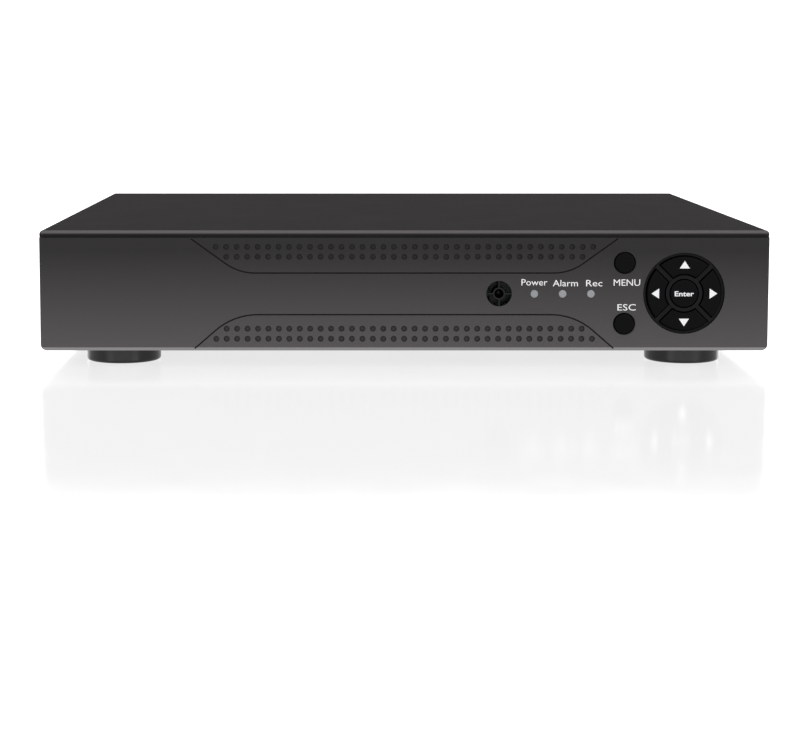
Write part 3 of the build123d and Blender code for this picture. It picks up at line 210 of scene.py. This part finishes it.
def surface(
    name, color, rough, metallic=0.0, specular=0.5, grain=2500.0, depth=0.012, stretch=(1, 1, 1),
    mottle=0.06, mottle_scale=45.0, wear=None, wear_amount=0.5, wear_radius=0.35, coat=0.0, soften=0.12,
    gap_shade_reach=0.0, gap_shade_tone=0.2
):
    """A finished surface: fine relief, uneven roughness and tone, softened edges, and worn edges.

    depth, wear_radius, soften and gap_shade_reach are in millimetres; grain and mottle_scale are waves per
    metre.
    Painted shade: crevices and bores narrower than gap_shade_reach darken to gap_shade_tone of the colour.
    """
    fine_share = 0.55
    graph = Graph(name)
    fine = graph.noise(grain, 4.0, graph.stretched(stretch))
    coarse = graph.noise(mottle_scale, 3.0)
    base = graph.mix(graph.remap(coarse, 0.0, 1.0), scaled(color, 1 - mottle), scaled(color, 1 + mottle))
    if wear:
        worn = graph.math("MULTIPLY", graph.edges(wear_radius * MM), graph.remap(fine, 0.3, 1.0))
        base = graph.mix(graph.math("MULTIPLY", worn, wear_amount), base, wear)
    # painted shade: narrow crevices and bores are darkened, found by ambient occlusion
    if gap_shade_reach:
        base = graph.mix(graph.painted_gap_shade(gap_shade_reach * MM), base, scaled(color, gap_shade_tone))
    fine_part = graph.math("MULTIPLY", fine, fine_share)
    mixed = graph.math("ADD", fine_part, graph.math("MULTIPLY", coarse, 1 - fine_share))
    bump = graph.add("ShaderNodeBump", Height=fine, Distance=depth * MM, Normal=graph.rounding(soften * MM))
    shader = graph.shader
    graph.put(shader, "Base Color", base)
    graph.put(shader, "Roughness", graph.remap(mixed, *rough, 0.35, 0.65))
    graph.put(shader, "Normal", bump.outputs[0])
    shader.inputs["Metallic"].default_value = metallic
    shader.inputs["Specular IOR Level"].default_value = specular
    shader.inputs["Coat Weight"].default_value = coat
    shader.inputs["Coat Roughness"].default_value = COAT_ROUGHNESS
    return graph


def cover_paint():
    """Matt dark paint, with a painted highlight along the rolled front edge and painted shade in its
    crevices.
    """
    graph = surface("cover_paint", srgb("242223"), (0.80, 0.95), specular=0.01, depth=0.010, mottle=0.04,
                    wear=srgb("4a4748"), wear_amount=0.5, gap_shade_reach=0.8, gap_shade_tone=0.1)
    # painted highlight: lighter where the rolled front edge faces up and forward
    graph.tint(graph.facing((0, -1, 1), 0.72, 0.92), srgb("565354"))
    return graph


def tray_paint():
    return surface("tray_paint", srgb("141415"), (0.45, 0.60), specular=0.3,
                   wear=srgb("45454a"), wear_amount=0.3)


def bezel_plastic():
    """Dark moulding, painted lighter towards its foot, with a painted floor reflection on the lower bevel and
    painted shade in its grooves.
    """
    graph = surface("bezel_plastic", srgb("1f1d1e"), (0.40, 0.52), specular=0.20, grain=3200.0, depth=0.006,
                    mottle=0.04, wear=srgb("5f5c5e"), wear_amount=0.2)
    # painted light: the face grows lighter towards its foot, standing in for the pale floor's reflection
    painted_light_top, foot_painted_light = 0.85, 0.62
    high = CASE_Z + painted_light_top * (BEZEL_HIGH[2] - CASE_Z)
    graph.tint(graph.along("Z", high, CASE_Z, 0.0, foot_painted_light), srgb("595657"))
    # painted shade in the grooves, dimples and hole walls of the bezel
    graph.tint(graph.painted_gap_shade(BEZEL_GAP_SHADE_REACH), srgb("151314"))
    graph.tint(graph.near(middle("ir_receiver"), IR_GRILLE_RADIUS), srgb("0c0b0c"))
    # painted reflection of the pale floor on the lower bevel, which faces down and forward
    graph.tint(graph.facing((0, -1, -1), 0.93, 0.98), srgb("868384"))
    return graph


def panel_sheet():
    return surface("panel_sheet", srgb("b3bcc9"), (0.34, 0.44), metallic=0.35, specular=0.5, grain=900.0,
                   depth=0.004, stretch=(0.15, 1, 1), mottle=0.035, mottle_scale=25.0,
                   wear=srgb("e6ebf2"), wear_amount=0.5)


def key_plastic():
    # painted shade in the narrow crevices round the keys
    return surface("key_plastic", srgb("060607"), (0.30, 0.42), specular=0.05, depth=0.003, mottle=0.1,
                   wear=srgb("242428"), wear_amount=0.35, gap_shade_reach=0.8)


def key_frame_plastic():
    return surface("key_frame_plastic", srgb("101012"), (0.30, 0.42), specular=0.08, depth=0.003,
                   wear=srgb("3c3d42"), wear_amount=0.4)


def foot_plastic():
    return surface("foot_plastic", srgb("131315"), (0.16, 0.26), specular=0.35, depth=0.012, grain=1800.0,
                   wear=srgb("55575c"), wear_amount=0.3)


def lamp_lens():
    return surface("lamp_lens", srgb("7b7d81"), (0.18, 0.28), depth=0.004, coat=0.3, wear=srgb("a6a8ac"))


def dark_lens():
    return surface("dark_lens", srgb("0b090b"), (0.22, 0.32), specular=0.12, depth=0.002, wear=srgb("1c1a1d"))


def nickel():
    # painted shade deep inside the shells' bores
    return surface("nickel", srgb("c9bdb0"), (0.05, 0.13), metallic=1.0, grain=1400.0, depth=0.004,
                   stretch=(1, 0.2, 1), mottle=0.08, wear=srgb("f4ede4"), wear_amount=0.5,
                   gap_shade_reach=5.0, gap_shade_tone=0.08)


def nickel_cage():
    return surface("nickel_cage", srgb("c2b2a4"), (0.28, 0.42), metallic=0.85, grain=1100.0, depth=0.004,
                   stretch=(1, 1, 0.15), mottle=0.07, wear=srgb("efe2d6"), wear_amount=0.6)


def bright_screw():
    # painted shade in the screw heads' recesses
    return surface("bright_screw", srgb("c4c0ba"), (0.12, 0.24), metallic=1.0, grain=2200.0, depth=0.006,
                   mottle=0.1, wear=srgb("f4f2ec"), wear_amount=0.6, gap_shade_reach=2.0, gap_shade_tone=0.05)


def black_screw():
    return surface("black_screw", srgb("161617"), (0.30, 0.45), metallic=0.5, depth=0.006,
                   wear=srgb("5d5d60"))


def gold_contact():
    return surface("gold_contact", srgb("c9a255"), (0.18, 0.30), metallic=1.0, depth=0.003,
                   wear=srgb("f5dc9d"))


def tinned_contact():
    return surface("tinned_contact", srgb("ddd8cc"), (0.16, 0.28), metallic=1.0, depth=0.003,
                   wear=srgb("f7f4ec"))


def dark_contact():
    return surface("dark_contact", srgb("241c16"), (0.30, 0.45), metallic=0.6, depth=0.003,
                   wear=srgb("6b5a44"))


def white_insulator():
    return surface("white_insulator", srgb("ece5d6"), (0.34, 0.46), depth=0.004,
                   wear=srgb("fffaf0"), wear_amount=0.3)


def white_insert():
    # painted shade in the insert's bore
    return surface("white_insert", srgb("e9e8e6"), (0.28, 0.40), depth=0.004,
                   wear=srgb("ffffff"), wear_amount=0.3, gap_shade_reach=3.0, gap_shade_tone=0.02)


def red_insert():
    # painted shade in the insert's bore
    return surface("red_insert", srgb("a51418"), (0.28, 0.40), depth=0.004,
                   wear=srgb("d9555a"), wear_amount=0.3, gap_shade_reach=3.0, gap_shade_tone=0.02)


def blue_insert():
    # painted shade in the socket's pin holes
    return surface("blue_insert", srgb("2f86d2"), (0.36, 0.48), depth=0.004,
                   wear=srgb("7fc0ee"), wear_amount=0.35, gap_shade_reach=1.2, gap_shade_tone=0.1)


def green_plastic():
    # painted shade in the socket's holes
    return surface("green_plastic", srgb("32a866"), (0.36, 0.50), depth=0.006,
                   wear=srgb("9fe6bd"), wear_amount=0.5, gap_shade_reach=4.0, gap_shade_tone=0.02)


def socket_plastic():
    return surface("socket_plastic", srgb("121214"), (0.40, 0.55), specular=0.2, depth=0.010,
                   wear=srgb("45464b"), wear_amount=0.35)


def plug_plastic():
    return surface("plug_plastic", srgb("101011"), (0.34, 0.46), specular=0.15, depth=0.008,
                   wear=srgb("4a4a50"), wear_amount=0.3)


def circuit_board():
    return surface("circuit_board", srgb("14542c"), (0.30, 0.42), grain=700.0, depth=0.02, mottle=0.18,
                   mottle_scale=160.0, wear=srgb("a59a5c"), wear_amount=0.6)


def moulded_chip():
    return surface("moulded_chip", srgb("1c1c1e"), (0.55, 0.70), depth=0.008, wear=srgb("3a3a3d"))


def black_aluminium():
    return surface("black_aluminium", srgb("26262a"), (0.35, 0.48), metallic=0.7, grain=900.0, depth=0.006,
                   stretch=(1, 0.1, 1), wear=srgb("8a8a90"), wear_amount=0.5)


def drive_metal():
    return surface("drive_metal", srgb("b4b6ba"), (0.34, 0.48), metallic=0.9, grain=1300.0, depth=0.008,
                   stretch=(0.2, 1, 1), wear=srgb("e2e4e8"), wear_amount=0.5)


def cell_steel():
    return surface("cell_steel", srgb("d2d2cd"), (0.20, 0.32), metallic=1.0, grain=1500.0, depth=0.004,
                   wear=srgb("f2f2ee"))


def capacitor_sleeve():
    return surface("capacitor_sleeve", srgb("23284a"), (0.22, 0.34), depth=0.004, wear=srgb("565c86"))


def red_cable():
    return surface("red_cable", srgb("9c1d18"), (0.40, 0.55), grain=1200.0, depth=0.02, wear=srgb("c95a50"))


def yellow_cable():
    return surface("yellow_cable", srgb("c79a26"), (0.40, 0.55), grain=1200.0, depth=0.02,
                   wear=srgb("e6c566"))


def grey_cable():
    return surface("grey_cable", srgb("9a9a9e"), (0.40, 0.55), grain=800.0, depth=0.05,
                   stretch=(1, 0.02, 0.02), mottle=0.12, wear=srgb("c4c4c8"))


def port_lamp():
    """Two unlit lenses in one node: yellow towards +X and green towards -X."""
    graph = surface("port_lamp", srgb("3f8f3a"), (0.15, 0.25), depth=0.003, coat=0.4)
    middle_x = middle("port_lamps").x
    graph.tint(graph.along("X", middle_x - MM, middle_x + MM, 0.0, 1.0), srgb("b7a52a"))
    return graph


def white_ink():
    return surface("white_ink", srgb("dcdcde"), (0.40, 0.55), depth=0.002, mottle=0.03, soften=0.01)


def black_ink():
    return surface("black_ink", srgb("0f0e0f"), (0.45, 0.60), specular=0.2, depth=0.002, mottle=0.08,
                   soften=0.01)


FINISHES = {
    cover_paint: ("top_cover",),
    tray_paint: ("base_tray",),
    bezel_plastic: ("front_bezel",),
    panel_sheet: ("rear_panel",),
    key_plastic: (
        "menu_button", "esc_button",
        "up_button", "down_button", "left_button", "right_button", "enter_button",
    ),
    key_frame_plastic: ("nav_key_frame",),
    foot_plastic: ("foot_front_left", "foot_front_right", "foot_rear_left", "foot_rear_right"),
    lamp_lens: ("indicator_leds",),
    dark_lens: ("ir_receiver",),
    nickel: ("bnc_shells", "phono_shells", "monitor_socket_shell", "hd_socket_shell"),
    nickel_cage: ("network_stack_shield",),
    bright_screw: (
        "rear_panel_screw", "jackscrews", "foot_screws", "hard_disk_screws", "board_screws", "bezel_screws",
    ),
    black_screw: ("cover_screws",),
    tinned_contact: ("socket_pins",),
    gold_contact: ("standoffs",),
    dark_contact: ("bnc_contacts",),
    white_insulator: ("bnc_insulators",),
    white_insert: ("phono_white_inserts",),
    red_insert: ("phono_red_inserts",),
    blue_insert: ("monitor_socket_insert",),
    green_plastic: ("serial_socket",),
    socket_plastic: (
        "bnc_bodies", "phono_housings", "hd_socket_tongue", "network_stack_insert", "dc_jack",
        "drive_sockets", "cell_holder", "buzzer", "tact_switches",
    ),
    plug_plastic: ("blanking_plug",),
    circuit_board: ("main_board", "key_board"),
    moulded_chip: ("processor", "memory_chips"),
    black_aluminium: ("heat_sink",),
    drive_metal: ("hard_disk",),
    cell_steel: ("coin_cell",),
    capacitor_sleeve: ("capacitors",),
    red_cable: ("drive_data_cable",),
    yellow_cable: ("drive_power_cable",),
    grey_cable: ("ribbon_cable",),
    port_lamp: ("port_lamps",),
}


def finish_nodes():
    """Gives every CAD node its detailed material."""
    for make, names in FINISHES.items():
        material = make().material
        for name in names:
            for slot in frame["nodes"][name].material_slots:
                slot.material = material


# ---------------------------------------------------------------- printed marks
def arc(cx, cz, radius, start, end, steps=10):
    """Points along an arc, angles in degrees."""
    angles = [math.radians(start + (end - start) * i / steps) for i in range(steps + 1)]
    return [(cx + radius * math.cos(a), cz + radius * math.sin(a)) for a in angles]


def rounded(x0, x1, z0, z1, bottom=0.4, top=0.4):
    """Outline of a box with rounded bottom and top corners."""
    steps = 6
    points = arc(x1 - bottom, z0 + bottom, bottom, -90, 0, steps)
    points += arc(x1 - top, z1 - top, top, 0, 90, steps)
    points += arc(x0 + top, z1 - top, top, 90, 180, steps)
    return points + arc(x0 + bottom, z0 + bottom, bottom, 180, 270, steps)


def circle(cx, cz, radius):
    """Outline of a circle in 24 points, the last one a step short of the first."""
    return arc(cx, cz, radius, 0, 345, 23)


def bar(x0, z0, x1, z1, width):
    """Outline of a straight stroke."""
    along = Vector((x1 - x0, z1 - z0)).normalized() * width / 2
    nx, nz = -along.y, along.x
    return [(x0 + nx, z0 + nz), (x0 - nx, z0 - nz), (x1 - nx, z1 - nz), (x1 + nx, z1 + nz)]


class Print:
    """Thin ink on a flat face: shapes in millimetres, x to the reader's right, z up from the case's foot.

    side is 1 on the front, where x runs to +X, and -1 on the rear, where it runs to -X.
    level 1 lies on top of level 0, as white does on black.
    """

    def __init__(self, face_y, side, level=0):
        self.mesh = bmesh.new()
        self.side = side
        self.outer = face_y - side * (PRINT_THICKNESS * (1 + level))
        self.inner = face_y + side * PRINT_SINK - side * PRINT_THICKNESS * level

    def point(self, x, z, y):
        return Vector((self.side * x * MM, y, z * MM + CASE_Z))

    def shape(self, outline):
        """A filled outline."""
        front = [self.mesh.verts.new(self.point(x, z, self.outer)) for x, z in outline]
        back = [self.mesh.verts.new(self.point(x, z, self.inner)) for x, z in outline]
        self.mesh.faces.new(front)
        self.mesh.faces.new(reversed(back))
        count = len(outline)
        for i in range(count):
            j = (i + 1) % count
            self.mesh.faces.new((front[j], front[i], back[i], back[j]))

    def band(self, outer, inner):
        """The strip between two outlines with the same number of points."""
        rings = []
        for outline in (outer, inner):
            for y in (self.outer, self.inner):
                rings.append([self.mesh.verts.new(self.point(x, z, y)) for x, z in outline])
        outer_front, outer_back, inner_front, inner_back = rings
        count = len(outer)
        for i in range(count):
            j = (i + 1) % count
            self.mesh.faces.new((outer_front[i], outer_front[j], inner_front[j], inner_front[i]))
            self.mesh.faces.new((outer_back[j], outer_back[i], inner_back[i], inner_back[j]))
            self.mesh.faces.new((outer_front[j], outer_front[i], outer_back[i], outer_back[j]))
            self.mesh.faces.new((inner_front[i], inner_front[j], inner_back[j], inner_back[i]))

    def ring(self, x, z, radius, width):
        self.band(circle(x, z, radius), circle(x, z, radius - width))

    def dot(self, x, z, radius):
        self.shape(circle(x, z, radius))

    def text(self, words, x, z, cap, width=None, bold=0.0):
        """Plain words centred on x and z, with capitals cap high and, if a width is given, that wide."""
        curve = bpy.data.curves.new("lettering", "FONT")
        curve.body = words
        curve.extrude = 0.5
        curve.offset = bold
        curve.resolution_u = 3
        holder = bpy.data.objects.new("lettering", curve)
        bpy.context.scene.collection.objects.link(holder)
        mesh = bpy.data.meshes.new_from_object(holder)
        bpy.data.objects.remove(holder)
        bpy.data.curves.remove(curve)
        xs = [v.co.x for v in mesh.vertices]
        grow_z = cap / FONT_CAP_HEIGHT
        grow_x = grow_z if width is None else width / (max(xs) - min(xs))
        centre = (max(xs) + min(xs)) / 2
        for v in mesh.vertices:
            y = self.outer if v.co.z > 0 else self.inner
            v.co = self.point(x + (v.co.x - centre) * grow_x, z + v.co.y * grow_z - cap / 2, y)
        self.mesh.from_mesh(mesh)
        bpy.data.meshes.remove(mesh)

    def finish(self, name, material, slot, body="case"):
        """Makes the piece and sets it on its body."""
        bmesh.ops.remove_doubles(self.mesh, verts=self.mesh.verts, dist=1e-7)
        bmesh.ops.recalc_face_normals(self.mesh, faces=self.mesh.faces)
        mesh = bpy.data.meshes.new(name)
        self.mesh.to_mesh(mesh)
        self.mesh.free()
        mesh.materials.append(material)
        piece = bpy.data.objects.new(name, mesh)
        bpy.context.scene.collection.objects.link(piece)
        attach(piece, body)


def place_mm(point, side=1):
    """A point's x as the reader sees it and its height above the bottom of the case, in millimetres."""
    return side * point[0] / MM, (point[2] - CASE_Z) / MM


def front_labels(ink):
    """Words above the three lamps and beside the two round keys."""
    low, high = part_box("indicator_leds")
    left, lamp_z = place_mm(low)
    right = high[0] / MM
    lamp_z += (high[2] - low[2]) / MM / 2
    first, last = left + LAMP_RADIUS, right - LAMP_RADIUS
    lamp_cap, power_rise, word_rise = 2.3, 4.1, 3.8
    front = Print(FRONT_Y, 1)
    front.text("Power", first, lamp_z + power_rise, lamp_cap, 8.9)
    front.text("Alarm", (first + last) / 2 + 0.9, lamp_z + word_rise, lamp_cap, 8.6)
    front.text("Rec", last + 1.1, lamp_z + word_rise, lamp_cap, 5.6)
    key_x, menu_z = place_mm(middle("menu_button"))
    esc_z = place_mm(middle("esc_button"))[1]
    key_word_shift, menu_drop, esc_rise = 0.8, 6.7, 5.75
    front.text("MENU", key_x + key_word_shift, menu_z - menu_drop, 2.35, 9.1)
    front.text("ESC", key_x + key_word_shift, esc_z + esc_rise, 2.3, 6.3)
    front.finish("front_lettering", ink, "lamp_lens")


def key_marks(ink):
    """A triangle on each direction key and the word on the middle key."""
    pad_x, pad_z = place_mm(middle("enter_button"))
    reach, tip, tail, half = 9.9, 1.35, 1.25, 1.75
    for name, turn in (("right", 0), ("up", 90), ("left", 180), ("down", 270)):
        angle = math.radians(turn)
        mark = Print(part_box(f"{name}_button")[0][1], 1)
        turned = []
        for along, across in ((tip, 0.0), (-tail, half), (-tail, -half)):
            x = pad_x + math.cos(angle) * (reach + along) - math.sin(angle) * across
            z = pad_z + math.sin(angle) * (reach + along) + math.cos(angle) * across
            turned.append((x, z))
        mark.shape(turned)
        mark.finish(f"{name}_mark", ink, "lamp_lens", f"{name}_key")
    cap, width = 1.75, 6.6
    word = Print(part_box("enter_button")[0][1], 1)
    word.text("Enter", pad_x, pad_z, cap, width, PAD_BOLD)
    word.finish("enter_mark", ink, "lamp_lens", "enter_key")


def rear_places(*names):
    """Reader's x and height of mounts on the rear panel."""
    return [place_mm(MOUNTS[name], -1) for name in names]


def box_frame(black, x0, x1, z0, z1, bar_height):
    """A rounded outline with a solid bar along its lower edge."""
    low_corner, high_corner, low_inner, high_inner = 0.6, 2.2, 0.4, 1.7
    left, right, foot, top = x0 + FRAME_LINE, x1 - FRAME_LINE, z0 + FRAME_LINE, z1 - FRAME_LINE
    outer = rounded(x0, x1, z0, z1, low_corner, high_corner)
    black.band(outer, rounded(left, right, foot, top, low_inner, high_inner))
    bar_top = z0 + bar_height
    black.shape([(left, foot), (right, foot), (right, bar_top), (left, bar_top)])


def plaque(
    black, white, words, x, z, width, text_width, bold=FINE_BOLD, cap=PLAQUE_CAP, height=PLAQUE_HEIGHT
):
    """White words on a small black rounded patch."""
    left, right, foot, top = x - width / 2, x + width / 2, z - height / 2, z + height / 2
    black.shape(rounded(left, right, foot, top, PLAQUE_CORNER, PLAQUE_CORNER))
    white.text(words, x, z, cap, text_width, bold)


def video_labels(black, white):
    """Frame, numbers and title of the eight video inputs."""
    number_aside, number_drop, number_cap, number_width = 6.9, 6.5, 2.2, 3.9
    for number in range(1, 9):
        x, z = rear_places(f"video_in_{number}")[0]
        black.text(f"V{number}", x - number_aside, z - number_drop, number_cap, number_width, NUMBER_BOLD)
    left_margin, right_margin, foot, top, bar_height = 9.9, 8.4, 2.7, 37.3, 3.2
    left = rear_places("video_in_8")[0][0] - left_margin
    right = rear_places("video_in_1")[0][0] + right_margin
    box_frame(black, left, right, foot, top, bar_height)
    title_shift, title_z, title_cap, title_width = 0.4, 4.3, 2.1, 14.8
    white.text("VIDEO IN", (left + right) / 2 + title_shift, title_z, title_cap, title_width, BOLD)


def output_labels(black, white):
    """The solid black field behind the video and audio outputs, and its two words."""
    x = rear_places("audio_out")[0][0]
    left_margin, right_margin, foot, top = 9.0, 8.2, 2.5, 37.7
    black.shape(rounded(x - left_margin, x + right_margin, foot, top, 1.6, 2.0))
    white.text("V-OUT", x, 36.1, 1.8, 12.0, BOLD)
    white.text("A-OUT", x, 5.5, 2.1, 10.6, BOLD)


def audio_labels(black, white):
    """Frame, numbers and title of the four audio inputs."""
    numbers = (1, 2, 3, 4)
    places = dict(zip(numbers, rear_places(*[f"audio_in_{i}" for i in numbers])))
    right_hand_shift, number_rise, number_cap, number_width = 1.0, 6.6, 2.1, 3.6
    for number, (x, z) in places.items():
        shift = right_hand_shift if number in (1, 2) else 0.0
        black.text(f"A{number}", x + shift, z + number_rise, number_cap, number_width, NUMBER_BOLD)
    left_margin, right_margin, foot, top, bar_height = 6.7, 6.3, 2.5, 36.2, 4.4
    left, right = places[3][0] - left_margin, places[1][0] + right_margin
    box_frame(black, left, right, foot, top, bar_height)
    title_z, title_cap, title_width = 4.7, 2.3, 15.2
    white.text("AUDIO IN", (left + right) / 2, title_z, title_cap, title_width, BOLD)


def network_mark(black, x, z):
    """Three joined square boxes, the plain sign for a network."""
    box, line, spread = 0.9, 0.35, 2.1
    for dx, dz in ((0.0, 2.0), (-spread, -1.9), (spread, -1.9)):
        cx, cz = x + dx, z + dz
        outer = rounded(cx - box, cx + box, cz - box, cz + box, 0.2, 0.2)
        inset = box - line
        black.band(outer, rounded(cx - inset, cx + inset, cz - inset, cz + inset, 0.05, 0.05))
    for side in (-1, 1):
        black.shape(bar(x + side * spread, z + 0.15, x + side * spread, z - 1.0, line))
    black.shape(bar(x - 2.7, z + 0.15, x + 2.7, z + 0.15, 0.4))
    black.shape(bar(x, z + 0.1, x, z + 1.1, line))


def earth_mark(black, x, z):
    """Earth sign in a circle."""
    radius, line, rung_line, rung_pitch = 2.1, 0.42, 0.36, 0.55
    black.ring(x, z, radius, line)
    black.shape(bar(x, z + 1.3, x, z, line))
    for step, half in enumerate((1.1, 0.7, 0.3)):
        height = z - rung_pitch * step
        black.shape(bar(x - half, height, x + half, height, rung_line))


def polarity_mark(black, x, z):
    """Boxed sign: minus on the sleeve, plus on the pin."""
    half_width, half_height, line, wire = 4.8, 2.95, 0.3, 0.45
    left, right, foot, top = x - half_width, x + half_width, z - half_height, z + half_height
    inner_box = rounded(left + line, right - line, foot + line, top - line, 0.2, 0.2)
    black.band(rounded(left, right, foot, top), inner_box)
    cup = arc(x, z, 1.5, 110, 250, 12)
    inner = arc(x, z, 1.1, 110, 250, 12)
    black.shape(cup + inner[::-1])
    black.dot(x + 0.1, z, 0.7)
    black.shape(bar(x + 0.4, z, x + 3.2, z, wire))
    black.shape(bar(x - 3.6, z, x - 1.4, z, wire))
    black.shape(bar(x - 3.7, z + 1.5, x - 2.3, z + 1.5, line))
    black.shape(bar(x + 2.0, z + 1.5, x + 3.4, z + 1.5, line))
    black.shape(bar(x + 2.7, z + 0.8, x + 2.7, z + 2.2, line))


def data_mark(white, x, z):
    """A plain plug and lead."""
    line, neck, nose, half, corner = 0.4, 1.6, 4.4, 1.05, 0.3
    white.shape(bar(x - 6.0, z, x + neck, z, line))
    white.shape(rounded(x + neck, x + nose, z - half, z + half, corner, corner))
    for side in (-1, 1):
        white.shape(bar(x + nose, z + side * 0.5, x + 5.9, z + side * 0.5, line))


def port_labels(black, white):
    """Plaques and signs of the other sockets."""
    monitor_x, monitor_z = rear_places("monitor_socket")[0]
    plaque(black, white, "MONITOR", monitor_x, monitor_z - 7.9, 12.4, 10.9, cap=2.1)
    hd_x, hd_z = rear_places("hd_socket")[0]
    plaque(black, white, "HD-OUT", hd_x, hd_z - 6.4, 12.8, 11.2, BOLD, height=3.9)
    stack_x, port_z = rear_places("data_port_lower")[0]
    black.shape(rounded(stack_x - 9.8, stack_x + 9.4, port_z - 9.0, port_z - 4.7, 0.5, 0.5))
    data_mark(white, stack_x - 0.4, port_z - 6.85)
    network_mark(black, stack_x + 13.9, rear_places("network_port")[0][1] + 4.1)
    serial_x, serial_z = rear_places("serial_socket")[0]
    letter_z = serial_z + 5.8
    black.text("A", serial_x - 1.9, letter_z, 2.0, 2.0, BOLD)
    black.text("B", serial_x + 2.2, letter_z, 2.0, 1.7, BOLD)
    plaque(black, white, "SERIAL", serial_x - 0.3, serial_z - 6.7, 8.8, 8.0)
    power_x, power_z = rear_places("power_inlet")[0]
    plaque(black, white, "DC 12V", power_x, power_z - 9.3, 9.0, 8.2)
    polarity_mark(black, power_x, power_z + 9.2)
    earth_x, earth_z = rear_places("earth_screw_hole")[0]
    earth_mark(black, earth_x + 4.0, earth_z - 5.0)


def rear_labels(white_material, black_material):
    """All print on the rear panel, white laid over black."""
    black, white = Print(PANEL_Y, -1), Print(PANEL_Y, -1, 1)
    video_labels(black, white)
    output_labels(black, white)
    audio_labels(black, white)
    port_labels(black, white)
    black.finish("rear_black_print", black_material, "plug_plastic")
    white.finish("rear_white_print", white_material, "lamp_lens")


# ---------------------------------------------------------------- studio
def floor_material():
    """White glossy sheet that glows a little, more where it sweeps up."""
    glow_low, glow_high, sweep_start, sweep_end = 0.74, 1.25, 0.02, 0.3
    graph = Graph("studio_floor")
    tone = graph.mix(graph.noise(3.0), (0.15, 0.15, 0.15), (0.16, 0.16, 0.16))
    graph.put(graph.shader, "Base Color", tone)
    graph.put(graph.shader, "Roughness", graph.remap(graph.noise(60.0), 0.10, 0.13))
    glow = graph.along("Z", sweep_start, sweep_end, glow_low, glow_high)
    graph.put(graph.shader, "Emission Strength", glow)
    graph.shader.inputs["Specular IOR Level"].default_value = 0.55
    graph.shader.inputs["Emission Color"].default_value = (1, 1, 1, 1)
    return graph.material


def backdrop():
    """Pale floor that sweeps up behind the object, and the same in front of it."""
    mesh = bmesh.new()
    half, far, bend, height = 4.0, 3.2, 0.9, 3.6
    rise = [(far - bend + x, bend + z) for x, z in arc(0, 0, bend, -90, 0, 16)] + [(far, height)]
    profile = [(-y, z) for y, z in reversed(rise)] + rise
    rows = [[mesh.verts.new((x, y, z)) for y, z in profile] for x in (-half, half)]
    for i in range(len(profile) - 1):
        mesh.faces.new((rows[0][i], rows[1][i], rows[1][i + 1], rows[0][i + 1]))
    data = bpy.data.meshes.new("floor")
    mesh.to_mesh(data)
    mesh.free()
    data.materials.append(floor_material())
    for face in data.polygons:
        face.use_smooth = True
    floor = bpy.data.objects.new("floor", data)
    bpy.context.scene.collection.objects.link(floor)


def soft_light(name, place, target, size, watts):
    data = bpy.data.lights.new(name, "AREA")
    data.shape = "RECTANGLE"
    data.size, data.size_y = size
    data.energy = watts
    light = bpy.data.objects.new(name, data)
    light.location = place
    light.rotation_euler = (Vector(target) - Vector(place)).to_track_quat("-Z", "Y").to_euler()
    bpy.context.scene.collection.objects.link(light)


def lights():
    """A wide overhead softbox, and two tall ones at the front corners and two at the rear."""
    tall, tall_watts, aim = (0.5, 1.2), 7.0, 0.03
    soft_light("overhead", (0.0, 0.0, 1.5), (0.0, 0.0, 0.0), (1.6, 1.0), 16.0)
    for side in (-1, 1):
        soft_light(f"front_{side}", (side * 1.1, -1.5, 0.9), (0.0, FRONT_Y, aim), tall, tall_watts)
        soft_light(f"rear_{side}", (side * 0.9, 1.5, 0.9), (0.0, PANEL_Y, aim), tall, tall_watts)
    world = bpy.data.worlds.new("studio")
    world.use_nodes = True
    background = world.node_tree.nodes["Background"]
    background.inputs["Color"].default_value = (1.0, 1.0, 1.0, 1.0)
    background.inputs["Strength"].default_value = 0.25
    bpy.context.scene.world = world


def plain_tones():
    """Shows colours as they are, with no film curve."""
    bpy.context.scene.view_settings.view_transform = "Standard"


def camera():
    """Long lens a little above the object, square to its front, with a small shift to frame it."""
    data = bpy.data.cameras.new("camera")
    data.lens = 91.2
    data.shift_x, data.shift_y = 0.0585, -0.10
    data.clip_start = 0.01
    view = bpy.data.objects.new("camera", data)
    distance, aside, height, tilt = 0.6907, -0.0175, 0.1006, 6.09
    view.location = (aside, FRONT_Y - distance, height)
    view.rotation_euler = (math.radians(90 - tilt), 0, 0)
    bpy.context.scene.collection.objects.link(view)
    bpy.context.scene.camera = view


finish_nodes()
WHITE, BLACK = white_ink().material, black_ink().material
front_labels(WHITE)
key_marks(WHITE)
rear_labels(WHITE, BLACK)
backdrop()
lights()
camera()
plain_tones()
